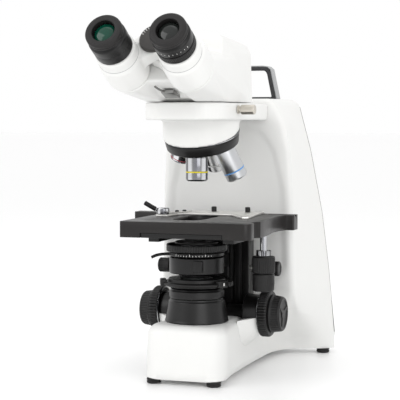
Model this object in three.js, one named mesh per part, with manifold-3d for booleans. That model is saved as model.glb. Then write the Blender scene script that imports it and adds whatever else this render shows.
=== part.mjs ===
// Upright binocular laboratory microscope with a mechanical stage, as separate solids.
// Millimetres, +Z up, the user sits on the -Y side. While it is being built, x = 0, y = 0 is the
// optical axis and z = 0 is the table; the last lines move the origin to the middle of the floor box.
import * as THREE from 'three';
import { ConvexGeometry } from 'three/addons/geometries/ConvexGeometry.js';
import { mergeVertices } from 'three/addons/utils/BufferGeometryUtils.js';
import Module from 'manifold-3d';

const wasm = await Module();
wasm.setup();

// ---------------------------------------------------------------- driving dimensions
const GAP = 0.3; // clearance between pieces that touch
const OVER = 2; // how far a cutting tool runs past the face it cuts

// stand
const FOOT_H = 5.5;
const FOOT_R = 7.7;
const FOOT_FRONT = { x: 33.5, y: -42 };
const FOOT_REAR = { x: 90, y: 202 };
const BASE_TOP = 62;
const BASE_FRONT_Y = -52;
const BASE_HALF = 42; // half width of the front of the base
const WAIST_HALF = 39; // half width of the base behind its front
const BASE_WALL = 4;
const BASE_EDGE = 7; // rounding of the upper edge of the base
const PLATE_T = 2.2; // bottom plate
const LIMB_FRONT_Y = 104;
const LIMB_WALL = 4;
const LIMB_TOP = 303;
const COVER_DEPTH = 13; // rear cover stands this far behind its seam
const COVER_WALL = 3;
const COVER_BOTTOM = 20;
const ARM_TOP = 297;
const ARM_BOTTOM = 278;
const ARM_HALF = 45;
const ARM_FRONT_Y = -60;
const ARM_CORNER_R = 30;
const BODY_FRONT_Y = -45;
const NOSE_R = 41;
const NOSE_Y = 14;

// carrying handle
const HANDLE_Y = 166;
const HANDLE_DEPTH = 18;
const HANDLE_TOP = LIMB_TOP + 38.5; // the handle stands on top of the limb
const HANDLE_FOOT_HALF = 39.6;
const HANDLE_TOP_HALF = 30;
const HANDLE_T = 4.2;

// power switch in the left wall
const SWITCH = { y0: 76, y1: 92, z0: 25, z1: 34, depth: 4 };

// lamp and field diaphragm
const COLLAR_R = 34.3;
const COLLAR_TOP_R = 29.2;
const COLLAR_TOP = 87.6;
const COLLAR_BORE = 15;
const FIELD_RING_TOP = 98.4;
const FIELD_LENS_R = 19;
const LAMP_R = 22;
const LAMP_H = 26;

// focus drive
const FOCUS_Y = 55.3;
const FOCUS_Z = 65.6;
const COARSE_R = 25.8;
const COARSE_IN = 57.3; // inner face of the coarse knob
const COARSE_OUT = 68.7;
const FINE_OUT = 81.9; // outer face of the fine knob
const FINE_R = 19;
const HUB_R = 20;
const SADDLE_R = 9;
const COARSE_SHAFT_R = 7;
const FINE_SHAFT_R = 3;

// carriage
const CARRIAGE_HALF = 38;
const CARRIAGE_FRONT_Y = 66.5;
const CARRIAGE_BACK_Y = 86;
const CARRIAGE_BOTTOM = 68;
const CARRIAGE_TOP = 150;
const RAIL_HALF = 14;
const CHEEK_W = 9;
const CHEEK_D = 9;

// stage
const STAGE_TOP = 173.8;
const STAGE_T = 16.8;
const STAGE_LEFT = -58.8;
const STAGE_RIGHT = 82.4;
const STAGE_FRONT = -75;
const BAR_Y = 69.4; // rear bar that guides the specimen holder
const BAR_DEPTH = 16.6;
const BAR_LEFT = -99.8;
const BAR_RIGHT = 89;
const APERTURE_HALF = 17;
const APERTURE_FRONT = -42;
const APERTURE_REAR = 36;
const RAILPLATE_LEFT = -36;
const RAILPLATE_RIGHT = 53;
const RAILPLATE_T = 4.7;
const RAILPLATE_REAR = 60;
const STAGE_TRAVEL_FRONT = 22;
const DRIVE_X = 72;
const DRIVE_Y = 10;
const DRIVE_POST_R = 3.8;
const DRIVE_CORE_R = 2.5;
const Y_KNOB_R = 12.4;
const Y_KNOB_Z = [115.2, 133.6];
const X_KNOB_R = 11.6;
const X_KNOB_Z = [96.1, 114.9];
const HOLDER_T = 2;
const PEG_R = 2.5;
const PEG_H = 5;
const CLAMP_X = -40;
const CLAMP_Y = 3;
const CLAMP_R = 6;

// condenser
const FORK_R = 29.5;
const FORK_Z = [114.5, 131.8];
const FORK_BORE = 24;
const KNURL_R = 32.8;
const KNURL_Z = [138, 146];
const CONDENSER_TOP = 148.5;
const CONDENSER_TOP_R = 22;
const FRONT_LENS_TOP = 164;
const FRONT_LENS_R = 11;
const IRIS_R = 30;
const IRIS_Z = [133.1, 137.2];
const IRIS_BORE = 20;
const FILTER_R = 38.9;
const FILTER_Z = [100, 113.9];
const FILTER_GLASS_R = 17;
const FILTER_PIN = { x: -27, y: 27 };
const HEIGHT_Y = 76;
const HEIGHT_Z = 113;
const HEIGHT_R = 8.3;
const HEIGHT_OUT = 71.5;
const HEIGHT_SHAFT_R = 3;
const HEIGHT_KNOB_L = 14;

// nosepiece and objectives
const TURRET_TILT = THREE.MathUtils.degToRad(20.5);
const TURRET_Y = 20;
const TURRET_Z = 251.7;
const TURRET_R = 38.8;
const TURRET_T = 12;
const SEAT_R = 21.3; // circle of the objective seats
const SEAT_POCKET = 10;
const THREAD_R = 9.5;
const THREAD_L = 4;
const SEAT_RING_T = 1.2;
const OBJECTIVE_R = 12;
const OBJECTIVES = [
  { name: 'objective_40x', angle: 0, length: 41, tip: 4.5, radius: OBJECTIVE_R },
  { name: 'objective_100x', angle: 90, length: 43, tip: 4, radius: OBJECTIVE_R },
  { name: 'objective_4x', angle: 180, length: 18, tip: 9, radius: OBJECTIVE_R },
  { name: 'objective_10x', angle: 270, length: 31.4, tip: 7, radius: OBJECTIVE_R },
];

// binocular tube
const TUBE_TILT = THREE.MathUtils.degToRad(30);
const HUB_Y = -127.5;
const HUB_Z = 359;
const EYE_HALF = 32.7; // half the eye distance as drawn
const EYE_DROP = 20.9; // eyepiece axes lie this far below the hub axis
const ARM_LENGTH = 32;
const LOBE_R = 22.6;
const LOBE_OUT_R = 16;
const LOBE_OUT = { x: 39, y: 13 };
const SOCKET_R = 21;
const SOCKET_L = 13;
const EYEPIECE_TUBE_R = 15;
const EYEPIECE_R = 19.6;
const EYEPIECE_L = 24.5;
const EYECUP_R = 18.4;
const EYECUP_L = 7.5;
const EYECUP_BORE = 12;
const DIOPTRE_L = 8;
const DIOPTRE_BORE = 16.4;
const HUB_DIAL_R = 15.6;
const HUB_DIAL_T = 3.3;
const NECK_HALF = 12.6;
const BLOCK_TOP = 362;
const BODY_REAR_Y = 60;

// ---------------------------------------------------------------- finishes
const FINISH = {
  white: { color: 0xf1f1ee, roughness: 0.45, metalness: 0 },
  black: { color: 0x262626, roughness: 0.5, metalness: 0 },
  charcoal: { color: 0x3c3d40, roughness: 0.6, metalness: 0 },
  grey: { color: 0xb4b6b8, roughness: 0.5, metalness: 0 },
  stage: { color: 0x454341, roughness: 0.4, metalness: 0.2 },
  chrome: { color: 0xd6d7d8, roughness: 0.12, metalness: 1 },
  steel: { color: 0xb9b8b4, roughness: 0.3, metalness: 1 },
  nickel: { color: 0xc9c4b4, roughness: 0.3, metalness: 1 },
  brass: { color: 0xb8964e, roughness: 0.35, metalness: 1 },
  rubber: { color: 0x1c1c1c, roughness: 0.85, metalness: 0 },
  glass: { color: 0xdfe8ea, roughness: 0.05, metalness: 0 },
  aluminium: { color: 0xa9abad, roughness: 0.4, metalness: 1 },
};

// ---------------------------------------------------------------- geometry helpers
function signedVolume(geometry) {
  const p = geometry.attributes.position;
  const index = geometry.index;
  const a = new THREE.Vector3();
  const b = new THREE.Vector3();
  const c = new THREE.Vector3();
  let sum = 0;
  for (let i = 0; i < index.count; i += 3) {
    a.fromBufferAttribute(p, index.getX(i));
    b.fromBufferAttribute(p, index.getX(i + 1));
    c.fromBufferAttribute(p, index.getX(i + 2));
    sum += a.dot(b.cross(c));
  }
  return sum;
}

// Keeps positions only, joins shared corners, drops empty triangles and turns the faces outwards.
function closed(geometry) {
  const bare = new THREE.BufferGeometry();
  bare.setAttribute('position', geometry.attributes.position.clone());
  if (geometry.index) {
    bare.setIndex(geometry.index.clone());
  }
  const merged = mergeVertices(bare, 1e-4);
  const kept = [];
  const index = merged.index.array;
  for (let i = 0; i < index.length; i += 3) {
    const [a, b, c] = [index[i], index[i + 1], index[i + 2]];
    if (a !== b && b !== c && a !== c) {
      kept.push(a, b, c);
    }
  }
  merged.setIndex(kept);
  if (signedVolume(merged) < 0) {
    for (let i = 0; i < kept.length; i += 3) {
      [kept[i + 1], kept[i + 2]] = [kept[i + 2], kept[i + 1]];
    }
    merged.setIndex(kept);
  }
  return merged;
}

function toSolid(geometry) {
  const g = closed(geometry);
  const mesh = new wasm.Mesh({
    numProp: 3,
    vertProperties: new Float32Array(g.attributes.position.array),
    triVerts: new Uint32Array(g.index.array),
  });
  return new wasm.Manifold(mesh);
}

function fromSolid(solid) {
  const mesh = solid.getMesh();
  const g = new THREE.BufferGeometry();
  g.setAttribute('position', new THREE.BufferAttribute(new Float32Array(mesh.vertProperties), 3));
  g.setIndex(Array.from(mesh.triVerts));
  return g;
}

function join(...parts) {
  return fromSolid(parts.map(toSolid).reduce((sum, part) => sum.add(part)));
}

function cut(body, ...tools) {
  return fromSolid(tools.map(toSolid).reduce((rest, tool) => rest.subtract(tool), toSolid(body)));
}

// A turned piece: profile points are [radius, height], the axis is Z.
function turned(profile, segments = 32) {
  const points = profile.map(([r, z]) => new THREE.Vector2(r, z));
  return closed(new THREE.LatheGeometry(points, segments).rotateX(Math.PI / 2));
}

function disc(radius, z0, z1, segments = 28) {
  return turned([[0, z0], [radius, z0], [radius, z1], [0, z1]], segments);
}

function ring(inner, outer, z0, z1, segments = 28) {
  return turned([[inner, z0], [outer, z0], [outer, z1], [inner, z1], [inner, z0]], segments);
}

function box(x0, x1, y0, y1, z0, z1) {
  const g = new THREE.BoxGeometry(x1 - x0, y1 - y0, z1 - z0);
  return closed(g.translate((x0 + x1) / 2, (y0 + y1) / 2, (z0 + z1) / 2));
}

function rod(radius, from, to, segments = 20) {
  const a = new THREE.Vector3(...from);
  const b = new THREE.Vector3(...to);
  const axis = b.clone().sub(a);
  const turn = new THREE.Quaternion().setFromUnitVectors(new THREE.Vector3(0, 0, 1), axis.clone().normalize());
  return disc(radius, 0, axis.length(), segments).applyQuaternion(turn).translate(a.x, a.y, a.z);
}

function slab(shape, z0, z1, bevel = 0, steps = 8) {
  const g = new THREE.ExtrudeGeometry(shape, {
    depth: z1 - z0 - 2 * bevel,
    bevelEnabled: bevel > 0,
    bevelThickness: bevel,
    bevelSize: bevel,
    bevelOffset: -bevel,
    bevelSegments: 1,
    curveSegments: steps,
  });
  return closed(g.translate(0, 0, z0 + bevel));
}

function polygon(points) {
  return new THREE.Shape(points.map(([x, y]) => new THREE.Vector2(x, y)));
}

function roundedRect(x0, x1, y0, y1, r) {
  const s = new THREE.Shape();
  s.moveTo(x0 + r, y0);
  s.lineTo(x1 - r, y0);
  s.absarc(x1 - r, y0 + r, r, -Math.PI / 2, 0, false);
  s.lineTo(x1, y1 - r);
  s.absarc(x1 - r, y1 - r, r, 0, Math.PI / 2, false);
  s.lineTo(x0 + r, y1);
  s.absarc(x0 + r, y1 - r, r, Math.PI / 2, Math.PI, false);
  s.lineTo(x0, y0 + r);
  s.absarc(x0 + r, y0 + r, r, Math.PI, 1.5 * Math.PI, false);
  return s;
}

// Grip outline: a circle with shallow flutes all round.
function flutedShape(radius, depth, count) {
  const points = [];
  for (let i = 0; i < count * 2; i += 1) {
    const r = i % 2 ? radius - depth : radius;
    const a = (i * Math.PI) / count;
    points.push([r * Math.cos(a), r * Math.sin(a)]);
  }
  return polygon(points);
}

function circlePoints(cx, cy, r, n) {
  return Array.from({ length: n }, (_, i) => {
    const a = (i * 2 * Math.PI) / n;
    return [cx + r * Math.cos(a), cy + r * Math.sin(a)];
  });
}

function hull(points) {
  return closed(new ConvexGeometry(points.map((p) => new THREE.Vector3(...p))));
}

// Skins a stack of outlines that all have the same number of points, and closes both ends.
function loft(sections) {
  const n = sections[0].points.length;
  const position = [];
  const index = [];
  for (const { points, z } of sections) {
    points.forEach(([x, y]) => position.push(x, y, z));
  }
  for (let s = 0; s + 1 < sections.length; s += 1) {
    for (let i = 0; i < n; i += 1) {
      const a = s * n + i;
      const b = s * n + ((i + 1) % n);
      index.push(a, b, a + n, b, b + n, a + n);
    }
  }
  const capOf = (points) => THREE.ShapeUtils.triangulateShape(
    points.map(([x, y]) => new THREE.Vector2(x, y)), []);
  const last = (sections.length - 1) * n;
  capOf(sections[0].points).forEach(([a, b, c]) => index.push(a, c, b));
  capOf(sections.at(-1).points).forEach(([a, b, c]) => index.push(last + a, last + b, last + c));
  const g = new THREE.BufferGeometry();
  g.setAttribute('position', new THREE.Float32BufferAttribute(position, 3));
  g.setIndex(index);
  return closed(g);
}

function mirrored(half) {
  return [...half, ...half.slice().reverse().map(([x, y]) => [-x, y])];
}

function mix(a, b, t) {
  return a + (b - a) * t;
}

function smooth(t) {
  const k = Math.min(Math.max(t, 0), 1);
  return k * k * (3 - 2 * k);
}

// Value at z of a list of [z, value] rows, straight between them.
function along(rows, z) {
  if (z <= rows[0][0]) {
    return rows[0][1];
  }
  for (let i = 1; i < rows.length; i += 1) {
    if (z <= rows[i][0]) {
      return mix(rows[i - 1][1], rows[i][1], (z - rows[i - 1][0]) / (rows[i][0] - rows[i - 1][0]));
    }
  }
  return rows.at(-1)[1];
}

function piece(name, finish, geometry) {
  const mesh = new THREE.Mesh(geometry, new THREE.MeshStandardMaterial(FINISH[finish]));
  mesh.name = name;
  return mesh;
}

// ---------------------------------------------------------------- stand outlines
const FLARE_END_Z = 90; // below this height the column narrows into the waist of the base
const FRONT_HALF = [[90, 81], [121, 80], [200, 78], [242, 75.5], [276, 68], [303, 54]];
const REAR_HALF = [[22, 102], [104, 95], [169, 88], [242, 76], [297, 64], [303, 61]];
const SEAM_Y = [[22, 212], [104, 207], [169, 202], [242, 194], [297, 184], [303, 182]];

const INLET_Z = 42;
const INLET = {
  half: 14.2, z0: INLET_Z - 10.2, z1: INLET_Z + 10.2, y: along(SEAM_Y, INLET_Z) + COVER_DEPTH,
};

// Right half of the stand's outline behind the waist, from the waist to the rear seam.
function flank(z, inset) {
  const t = smooth((z - FOOT_H) / (FLARE_END_Z - FOOT_H));
  const front = along(FRONT_HALF, z);
  const rear = along(REAR_HALF, z);
  const seam = along(SEAM_Y, z);
  const low = [
    [WAIST_HALF, 140], [WAIST_HALF + 5, 166], [WAIST_HALF + 17, 183],
    [rear - 18, 193], [rear - 1, 204], [rear, seam],
  ];
  const y = LIMB_FRONT_Y;
  const high = [
    [front * 0.5, y], [front - 10, y], [front - 2, y + 3], [front, y + 12], [rear - 1, seam - 12], [rear, seam],
  ];
  return low.map(([x, yy], i) => [
    mix(x, high[i][0], t) - inset,
    mix(yy, high[i][1], t) + (i < 4 ? inset : 0),
  ]);
}

function limbSection(z, inset, seamShift) {
  const half = flank(z, inset);
  const front = half[0][1];
  half.at(-1)[1] += seamShift;
  return { z, points: mirrored([[6, front], ...half]) };
}

function baseSection(z, inset) {
  const draft = (z - FOOT_H) * 0.08;
  const front = BASE_FRONT_Y + draft + inset;
  const half = BASE_HALF - draft * 0.5 - inset;
  const waist = WAIST_HALF - draft * 0.3 - inset;
  const side = flank(z, inset);
  side[0][0] = waist;
  side.at(-1)[1] -= inset;
  return {
    z,
    points: mirrored([
      [12, front], [half - 14, front + 0.8], [half - 5, front + 5], [half - 1, front + 13], [half, front + 24],
      [waist, 20], ...side, [12, side.at(-1)[1]],
    ]),
  };
}

function rounded(section, shrink) {
  const points = section.points.map(([x, y]) => [
    x - Math.sign(x) * shrink * (Math.abs(x) > 10 ? 1 : 0),
    y + (y < 0 ? shrink : 0),
  ]);
  return { z: section.z, points };
}

// ---------------------------------------------------------------- stand
function buildBase() {
  const shellTop = BASE_TOP - BASE_EDGE;
  const outer = loft([
    baseSection(FOOT_H, 0), baseSection(22, 0), baseSection(40, 0), baseSection(shellTop, 0),
    rounded(baseSection(BASE_TOP - 2, 0), 2.5), rounded(baseSection(BASE_TOP, 0), BASE_EDGE),
  ]);
  const inner = loft([
    baseSection(FOOT_H - OVER, BASE_WALL), baseSection(22, BASE_WALL), baseSection(40, BASE_WALL + 1),
    rounded(baseSection(BASE_TOP - BASE_WALL, BASE_WALL + 1), BASE_EDGE),
  ]);
  const saddle = rod(SADDLE_R + GAP, [-WAIST_HALF - OVER * 3, FOCUS_Y, FOCUS_Z], [WAIST_HALF + OVER * 3, FOCUS_Y, FOCUS_Z]);
  const lightHole = disc(COLLAR_BORE, BASE_TOP - 20, BASE_TOP + OVER);
  const socket = box(-INLET.half - GAP, INLET.half + GAP, INLET.y - 24, INLET.y, INLET.z0 - GAP, INLET.z1 + GAP);
  const room = 1;
  const rocker = box(-WAIST_HALF - SWITCH.depth, -WAIST_HALF + 2 * SWITCH.depth,
    SWITCH.y0 - room, SWITCH.y1 + room, SWITCH.z0 - room, SWITCH.z1 + room);
  return piece('base_housing', 'white', cut(outer, inner, saddle, lightHole, socket, rocker));
}

function buildBasePlate() {
  const inset = BASE_WALL + 3 * GAP;
  const plate = loft([baseSection(FOOT_H + GAP, inset), baseSection(FOOT_H + GAP + PLATE_T, inset)]);
  return piece('base_plate', 'charcoal', plate);
}

function buildFeet() {
  const feet = new THREE.Group();
  for (const [row, at] of [['front', FOOT_FRONT], ['rear', FOOT_REAR]]) {
    for (const [side, sign] of [['left', -1], ['right', 1]]) {
      const top = FOOT_H - GAP;
      const foot = turned([[0, 0], [FOOT_R - 0.8, 0], [FOOT_R, 1], [FOOT_R, top], [0, top]], 20);
      const mesh = piece(`foot_${row}_${side}`, 'rubber', foot);
      mesh.position.set(sign * at.x, at.y, 0);
      feet.add(mesh);
    }
  }
  return feet;
}

function buildLimb() {
  const levels = [BASE_TOP + GAP, 76, FLARE_END_Z, 121, 200, 242, 276, LIMB_TOP - 5];
  const outer = loft([
    ...levels.map((z) => limbSection(z, 0, 0)),
    limbSection(LIMB_TOP - 1.5, 2.2, -1.5),
    limbSection(LIMB_TOP, 6, -5),
  ]);
  const inside = [BASE_TOP + GAP + LIMB_WALL, 76, FLARE_END_Z, 121, 200, 242, 276, LIMB_TOP - LIMB_WALL - 3];
  const inner = loft(inside.map((z) => limbSection(z, LIMB_WALL, OVER * 3)));
  return piece('limb_housing', 'white', cut(outer, inner));
}

function buildArm() {
  const back = LIMB_FRONT_Y - GAP;
  const plan = new THREE.Shape();
  const r = ARM_CORNER_R;
  const corner = ARM_HALF - r;
  plan.moveTo(-corner, ARM_FRONT_Y);
  plan.lineTo(corner, ARM_FRONT_Y);
  plan.absarc(corner, ARM_FRONT_Y + r, r, -Math.PI / 2, 0, false);
  plan.lineTo(ARM_HALF, 60);
  plan.lineTo(ARM_HALF + 4, back);
  plan.lineTo(-ARM_HALF - 4, back);
  plan.lineTo(-ARM_HALF, 60);
  plan.lineTo(-ARM_HALF, ARM_FRONT_Y + r);
  plan.absarc(-corner, ARM_FRONT_Y + r, r, Math.PI, 1.5 * Math.PI, false);
  const deck = slab(plan, ARM_BOTTOM, ARM_TOP, 0, 7);
  const nose = disc(NOSE_R, TURRET_Z - 30, ARM_TOP - 4, 26).translate(0, NOSE_Y, 0);
  // everything below the tilted plane of the nosepiece is cut away
  const lift = TURRET_T + SEAT_RING_T + 2 * GAP;
  const below = box(-80, 80, -80, 80, -80, lift);
  below.rotateX(TURRET_TILT).translate(0, TURRET_Y, TURRET_Z);
  const lightPath = disc(11, TURRET_Z - 40, ARM_TOP + OVER, 24);
  const pocket = box(-ARM_HALF + 5, ARM_HALF - 5, NOSE_Y + NOSE_R + 4, back + OVER, ARM_BOTTOM + 4, ARM_TOP - 4);
  const screwHole = rod(2.8, [20, 0, 289.5], [ARM_HALF + 6, 0, 289.5]);
  return piece('arm_housing', 'white', cut(join(deck, nose), below, lightPath, pocket, screwHole));
}

function coverSection(z, inset) {
  const half = along(REAR_HALF, z) - inset;
  const seam = along(SEAM_Y, z) + GAP;
  const start = inset > 0 ? seam - OVER * 2 : seam;
  const back = seam + COVER_DEPTH - inset;
  return {
    z,
    points: mirrored([
      [half * 0.4, start], [half, start], [half, seam + 2], [half - 3, back - 3.5], [half - 12, back - 0.6],
      [half * 0.4, back],
    ]),
  };
}

function buildRearCover() {
  const levels = [COVER_BOTTOM, 60, 104, 169, 242, LIMB_TOP - 8];
  const outer = loft(levels.map((z) => coverSection(z, 0)));
  const inside = [COVER_BOTTOM + COVER_WALL, 60, 104, 169, 242, LIMB_TOP - 8 - COVER_WALL];
  const inner = loft(inside.map((z) => coverSection(z, COVER_WALL)));
  const { half, y, z0, z1 } = INLET;
  const inlet = box(-half - GAP, half + GAP, y - COVER_DEPTH, y + OVER * 2, z0 - GAP, z1 + GAP);
  return piece('rear_cover', 'white', cut(outer, inner, inlet));
}

function buildPowerInlet() {
  const { half, y, z0, z1 } = INLET;
  const mid = (z0 + z1) / 2;
  const body = box(-half, half, y - 22, y - 1, z0, z1);
  const socket = box(-half + 2.2, half - 2.2, y - 18, y + OVER, z0 + 2.2, z1 - 2.2);
  const tongue = box(-half + 6, half - 6, y - 20, y - 4, mid - 3.5, mid + 3.5);
  return piece('power_inlet', 'black', join(cut(body, socket), tongue));
}

// ---------------------------------------------------------------- handle
function handleOutline(shrink) {
  const foot = LIMB_TOP + GAP;
  const top = HANDLE_TOP - shrink;
  const side = HANDLE_TOP_HALF + 3.5 - shrink;
  const s = new THREE.Shape();
  s.moveTo(HANDLE_FOOT_HALF - shrink, foot);
  s.lineTo(side, HANDLE_TOP - 9);
  s.quadraticCurveTo(side - 1.5, top, HANDLE_TOP_HALF - 7, top);
  s.lineTo(-HANDLE_TOP_HALF + 7, top);
  s.quadraticCurveTo(-side + 1.5, top, -side, HANDLE_TOP - 9);
  s.lineTo(-HANDLE_FOOT_HALF + shrink, foot);
  return s;
}

function buildHandle() {
  const out = slab(handleOutline(0), 0, HANDLE_DEPTH, 0, 6);
  const hole = slab(handleOutline(HANDLE_T), -OVER, HANDLE_DEPTH + OVER, 0, 6);
  const sill = roundedRect(-HANDLE_FOOT_HALF + 2, HANDLE_FOOT_HALF - 2, LIMB_TOP + GAP, LIMB_TOP + GAP + 2.6, 1);
  const loop = join(cut(out, hole), slab(sill, 0, HANDLE_DEPTH, 0, 2));
  return piece('carry_handle', 'charcoal', loop.rotateX(Math.PI / 2).translate(0, HANDLE_Y + HANDLE_DEPTH, 0));
}

// ---------------------------------------------------------------- lamp
function buildLamp() {
  const g = new THREE.Group();
  const bottom = BASE_TOP + GAP;
  const collar = turned([
    [COLLAR_BORE, bottom], [COLLAR_R, bottom], [COLLAR_R, bottom + 2.5], [COLLAR_R - 1.4, bottom + 8],
    [COLLAR_TOP_R + 0.4, COLLAR_TOP - 2], [COLLAR_TOP_R - 0.8, COLLAR_TOP], [COLLAR_BORE, COLLAR_TOP],
    [COLLAR_BORE, bottom],
  ], 32);
  g.add(piece('light_collar', 'black', collar));
  const low = COLLAR_TOP + GAP;
  const lensGap = FIELD_LENS_R + GAP;
  const field = turned([
    [lensGap, low], [COLLAR_TOP_R, low], [COLLAR_TOP_R, FIELD_RING_TOP - 2], [COLLAR_TOP_R - 2, FIELD_RING_TOP],
    [lensGap + 1, FIELD_RING_TOP], [lensGap, FIELD_RING_TOP - 1], [lensGap, low],
  ], 32);
  g.add(piece('field_ring', 'black', field));
  const lens = turned([
    [0, low], [FIELD_LENS_R, low], [FIELD_LENS_R, low + 3], [FIELD_LENS_R * 0.75, low + 5.6],
    [FIELD_LENS_R * 0.4, low + 7], [0, low + 7.5],
  ], 26);
  g.add(piece('field_lens', 'glass', lens));
  const lampTop = BASE_TOP - BASE_WALL - GAP;
  const lampBottom = lampTop - LAMP_H;
  const fins = [];
  for (let i = 0; i < 4; i += 1) {
    const z = lampBottom + 3 + i * 5;
    fins.push([LAMP_R, z], [LAMP_R, z + 2], [LAMP_R - 7, z + 2], [LAMP_R - 7, z + 5]);
  }
  g.add(piece('lamp_module', 'aluminium', turned([
    [0, lampBottom], [LAMP_R - 7, lampBottom], [LAMP_R - 7, lampBottom + 3], ...fins,
    [LAMP_R - 7, lampTop], [0, lampTop],
  ], 20)));
  return g;
}

// ---------------------------------------------------------------- controls on the stand
function buildSwitch() {
  const inner = -WAIST_HALF + SWITCH.depth;
  const { y0, y1, z0, z1 } = SWITCH;
  const high = -WAIST_HALF - 1.8;
  const low = -WAIST_HALF + 0.2;
  const rocker = hull([
    [inner, y0, z0], [inner, y1, z0], [inner, y0, z1], [inner, y1, z1],
    [high, y0 + 1, z0 + 1], [low, y1 - 1, z0 + 1], [high, y0 + 1, z1 - 1], [low, y1 - 1, z1 - 1],
  ]);
  return piece('power_switch', 'black', rocker);
}

function buildBrightness() {
  const x = -(WAIST_HALF + 0.8);
  const wheel = slab(flutedShape(9, 0.6, 20), 0, 9, 1);
  const mesh = piece('brightness_knob', 'black', wheel);
  mesh.rotation.y = -Math.PI / 2;
  mesh.position.set(x, 20, 30);
  return mesh;
}

function buildClampScrew() {
  const mesh = piece('tube_lock_screw', 'nickel', turned([
    [0, -20], [2.4, -20], [2.4, 1], [3.4, 1], [3.4, 4], [5.2, 4.6], [5.2, 19], [4.6, 20], [0, 20],
  ], 24));
  mesh.rotation.y = Math.PI / 2;
  mesh.position.set(ARM_HALF + GAP, 0, 289.5);
  return mesh;
}

// ---------------------------------------------------------------- focus drive
function buildFocusDrive() {
  const g = new THREE.Group();
  g.position.set(0, FOCUS_Y, FOCUS_Z);
  g.rotation.y = Math.PI / 2;
  const inHub = WAIST_HALF + 1.2;
  const outHub = COARSE_IN - GAP;
  const bore = COARSE_SHAFT_R + GAP;
  const housing = turned([
    [bore, -outHub], [HUB_R, -outHub], [HUB_R + 1.5, -inHub], [SADDLE_R, -inHub], [SADDLE_R, inHub],
    [HUB_R + 1.5, inHub], [HUB_R, outHub], [bore, outHub], [bore, -outHub],
  ], 32);
  g.add(piece('focus_housing', 'black', housing));
  const shaftBore = FINE_SHAFT_R + GAP;
  const shaftEnd = COARSE_IN - 2 * GAP;
  g.add(piece('coarse_shaft', 'steel', ring(shaftBore, COARSE_SHAFT_R, -shaftEnd, shaftEnd, 20)));
  g.add(piece('fine_shaft', 'steel', disc(FINE_SHAFT_R, -COARSE_OUT, COARSE_OUT, 20)));
  for (const [side, turn] of [['right', 0], ['left', Math.PI]]) {
    const coarse = slab(flutedShape(COARSE_R, 0.9, 32), COARSE_IN, COARSE_OUT, 1.2);
    const drilled = cut(coarse, disc(shaftBore, COARSE_IN - OVER, COARSE_OUT + OVER, 20));
    const coarseMesh = piece(`coarse_knob_${side}`, 'black', drilled);
    coarseMesh.rotation.x = turn;
    g.add(coarseMesh);
    const low = COARSE_OUT + GAP;
    const fine = turned([
      [0, low], [FINE_R + 2.2, low], [FINE_R + 2.2, low + 1.5], [FINE_R + 0.8, low + 3], [FINE_R, FINE_OUT - 1.5],
      [FINE_R - 1.5, FINE_OUT], [FINE_R - 4, FINE_OUT], [FINE_R - 4.6, FINE_OUT - 1.2], [0, FINE_OUT - 1.2],
    ], 26);
    const fineMesh = piece(`fine_knob_${side}`, 'black', fine);
    fineMesh.rotation.x = turn;
    g.add(fineMesh);
  }
  return g;
}

// ---------------------------------------------------------------- carriage
function buildCarriage() {
  const g = new THREE.Group();
  const w = CARRIAGE_HALF;
  const column = box(-w, w, CARRIAGE_FRONT_Y, CARRIAGE_BACK_Y, CARRIAGE_BOTTOM, CARRIAGE_TOP);
  const cheekIn = RAIL_HALF + GAP;
  const cheeks = [-1, 1].map((s) => box(
    ...[s * cheekIn, s * (cheekIn + CHEEK_W)].sort((a, b) => a - b),
    CARRIAGE_BACK_Y - OVER, CARRIAGE_BACK_Y + CHEEK_D, CARRIAGE_BOTTOM, CARRIAGE_TOP));
  const bracketTop = STAGE_TOP - STAGE_T - GAP;
  const arms = [-1, 1].map((s) => box(
    ...[s * 36, s * 48].sort((a, b) => a - b), -20, CARRIAGE_BACK_Y, CARRIAGE_TOP - OVER, bracketTop));
  const back = box(-48, 48, CARRIAGE_FRONT_Y, CARRIAGE_BACK_Y, CARRIAGE_TOP - OVER, bracketTop);
  const grooves = [-30, -20, 20, 30].map((x) => box(
    x - 2, x + 2, CARRIAGE_FRONT_Y - OVER, CARRIAGE_FRONT_Y + 2.5, CARRIAGE_BOTTOM - OVER, CARRIAGE_TOP - 6));
  const heightBore = rod(HEIGHT_SHAFT_R + GAP, [-w - OVER, HEIGHT_Y, HEIGHT_Z], [w + OVER, HEIGHT_Y, HEIGHT_Z]);
  const rackSlot = box(-4, 4, CARRIAGE_BACK_Y - 5, CARRIAGE_BACK_Y + OVER, CARRIAGE_BOTTOM - OVER, CARRIAGE_TOP - 8);
  const body = cut(join(column, ...cheeks, ...arms, back), ...grooves, heightBore, rackSlot);
  g.add(piece('carriage', 'black', body));
  g.add(piece('guide_rail', 'steel', box(
    -RAIL_HALF, RAIL_HALF, CARRIAGE_BACK_Y + GAP, LIMB_FRONT_Y - GAP, BASE_TOP + 4, CARRIAGE_TOP - 4)));
  g.add(piece('focus_rack', 'brass', rackBar()));
  return g;
}

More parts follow.
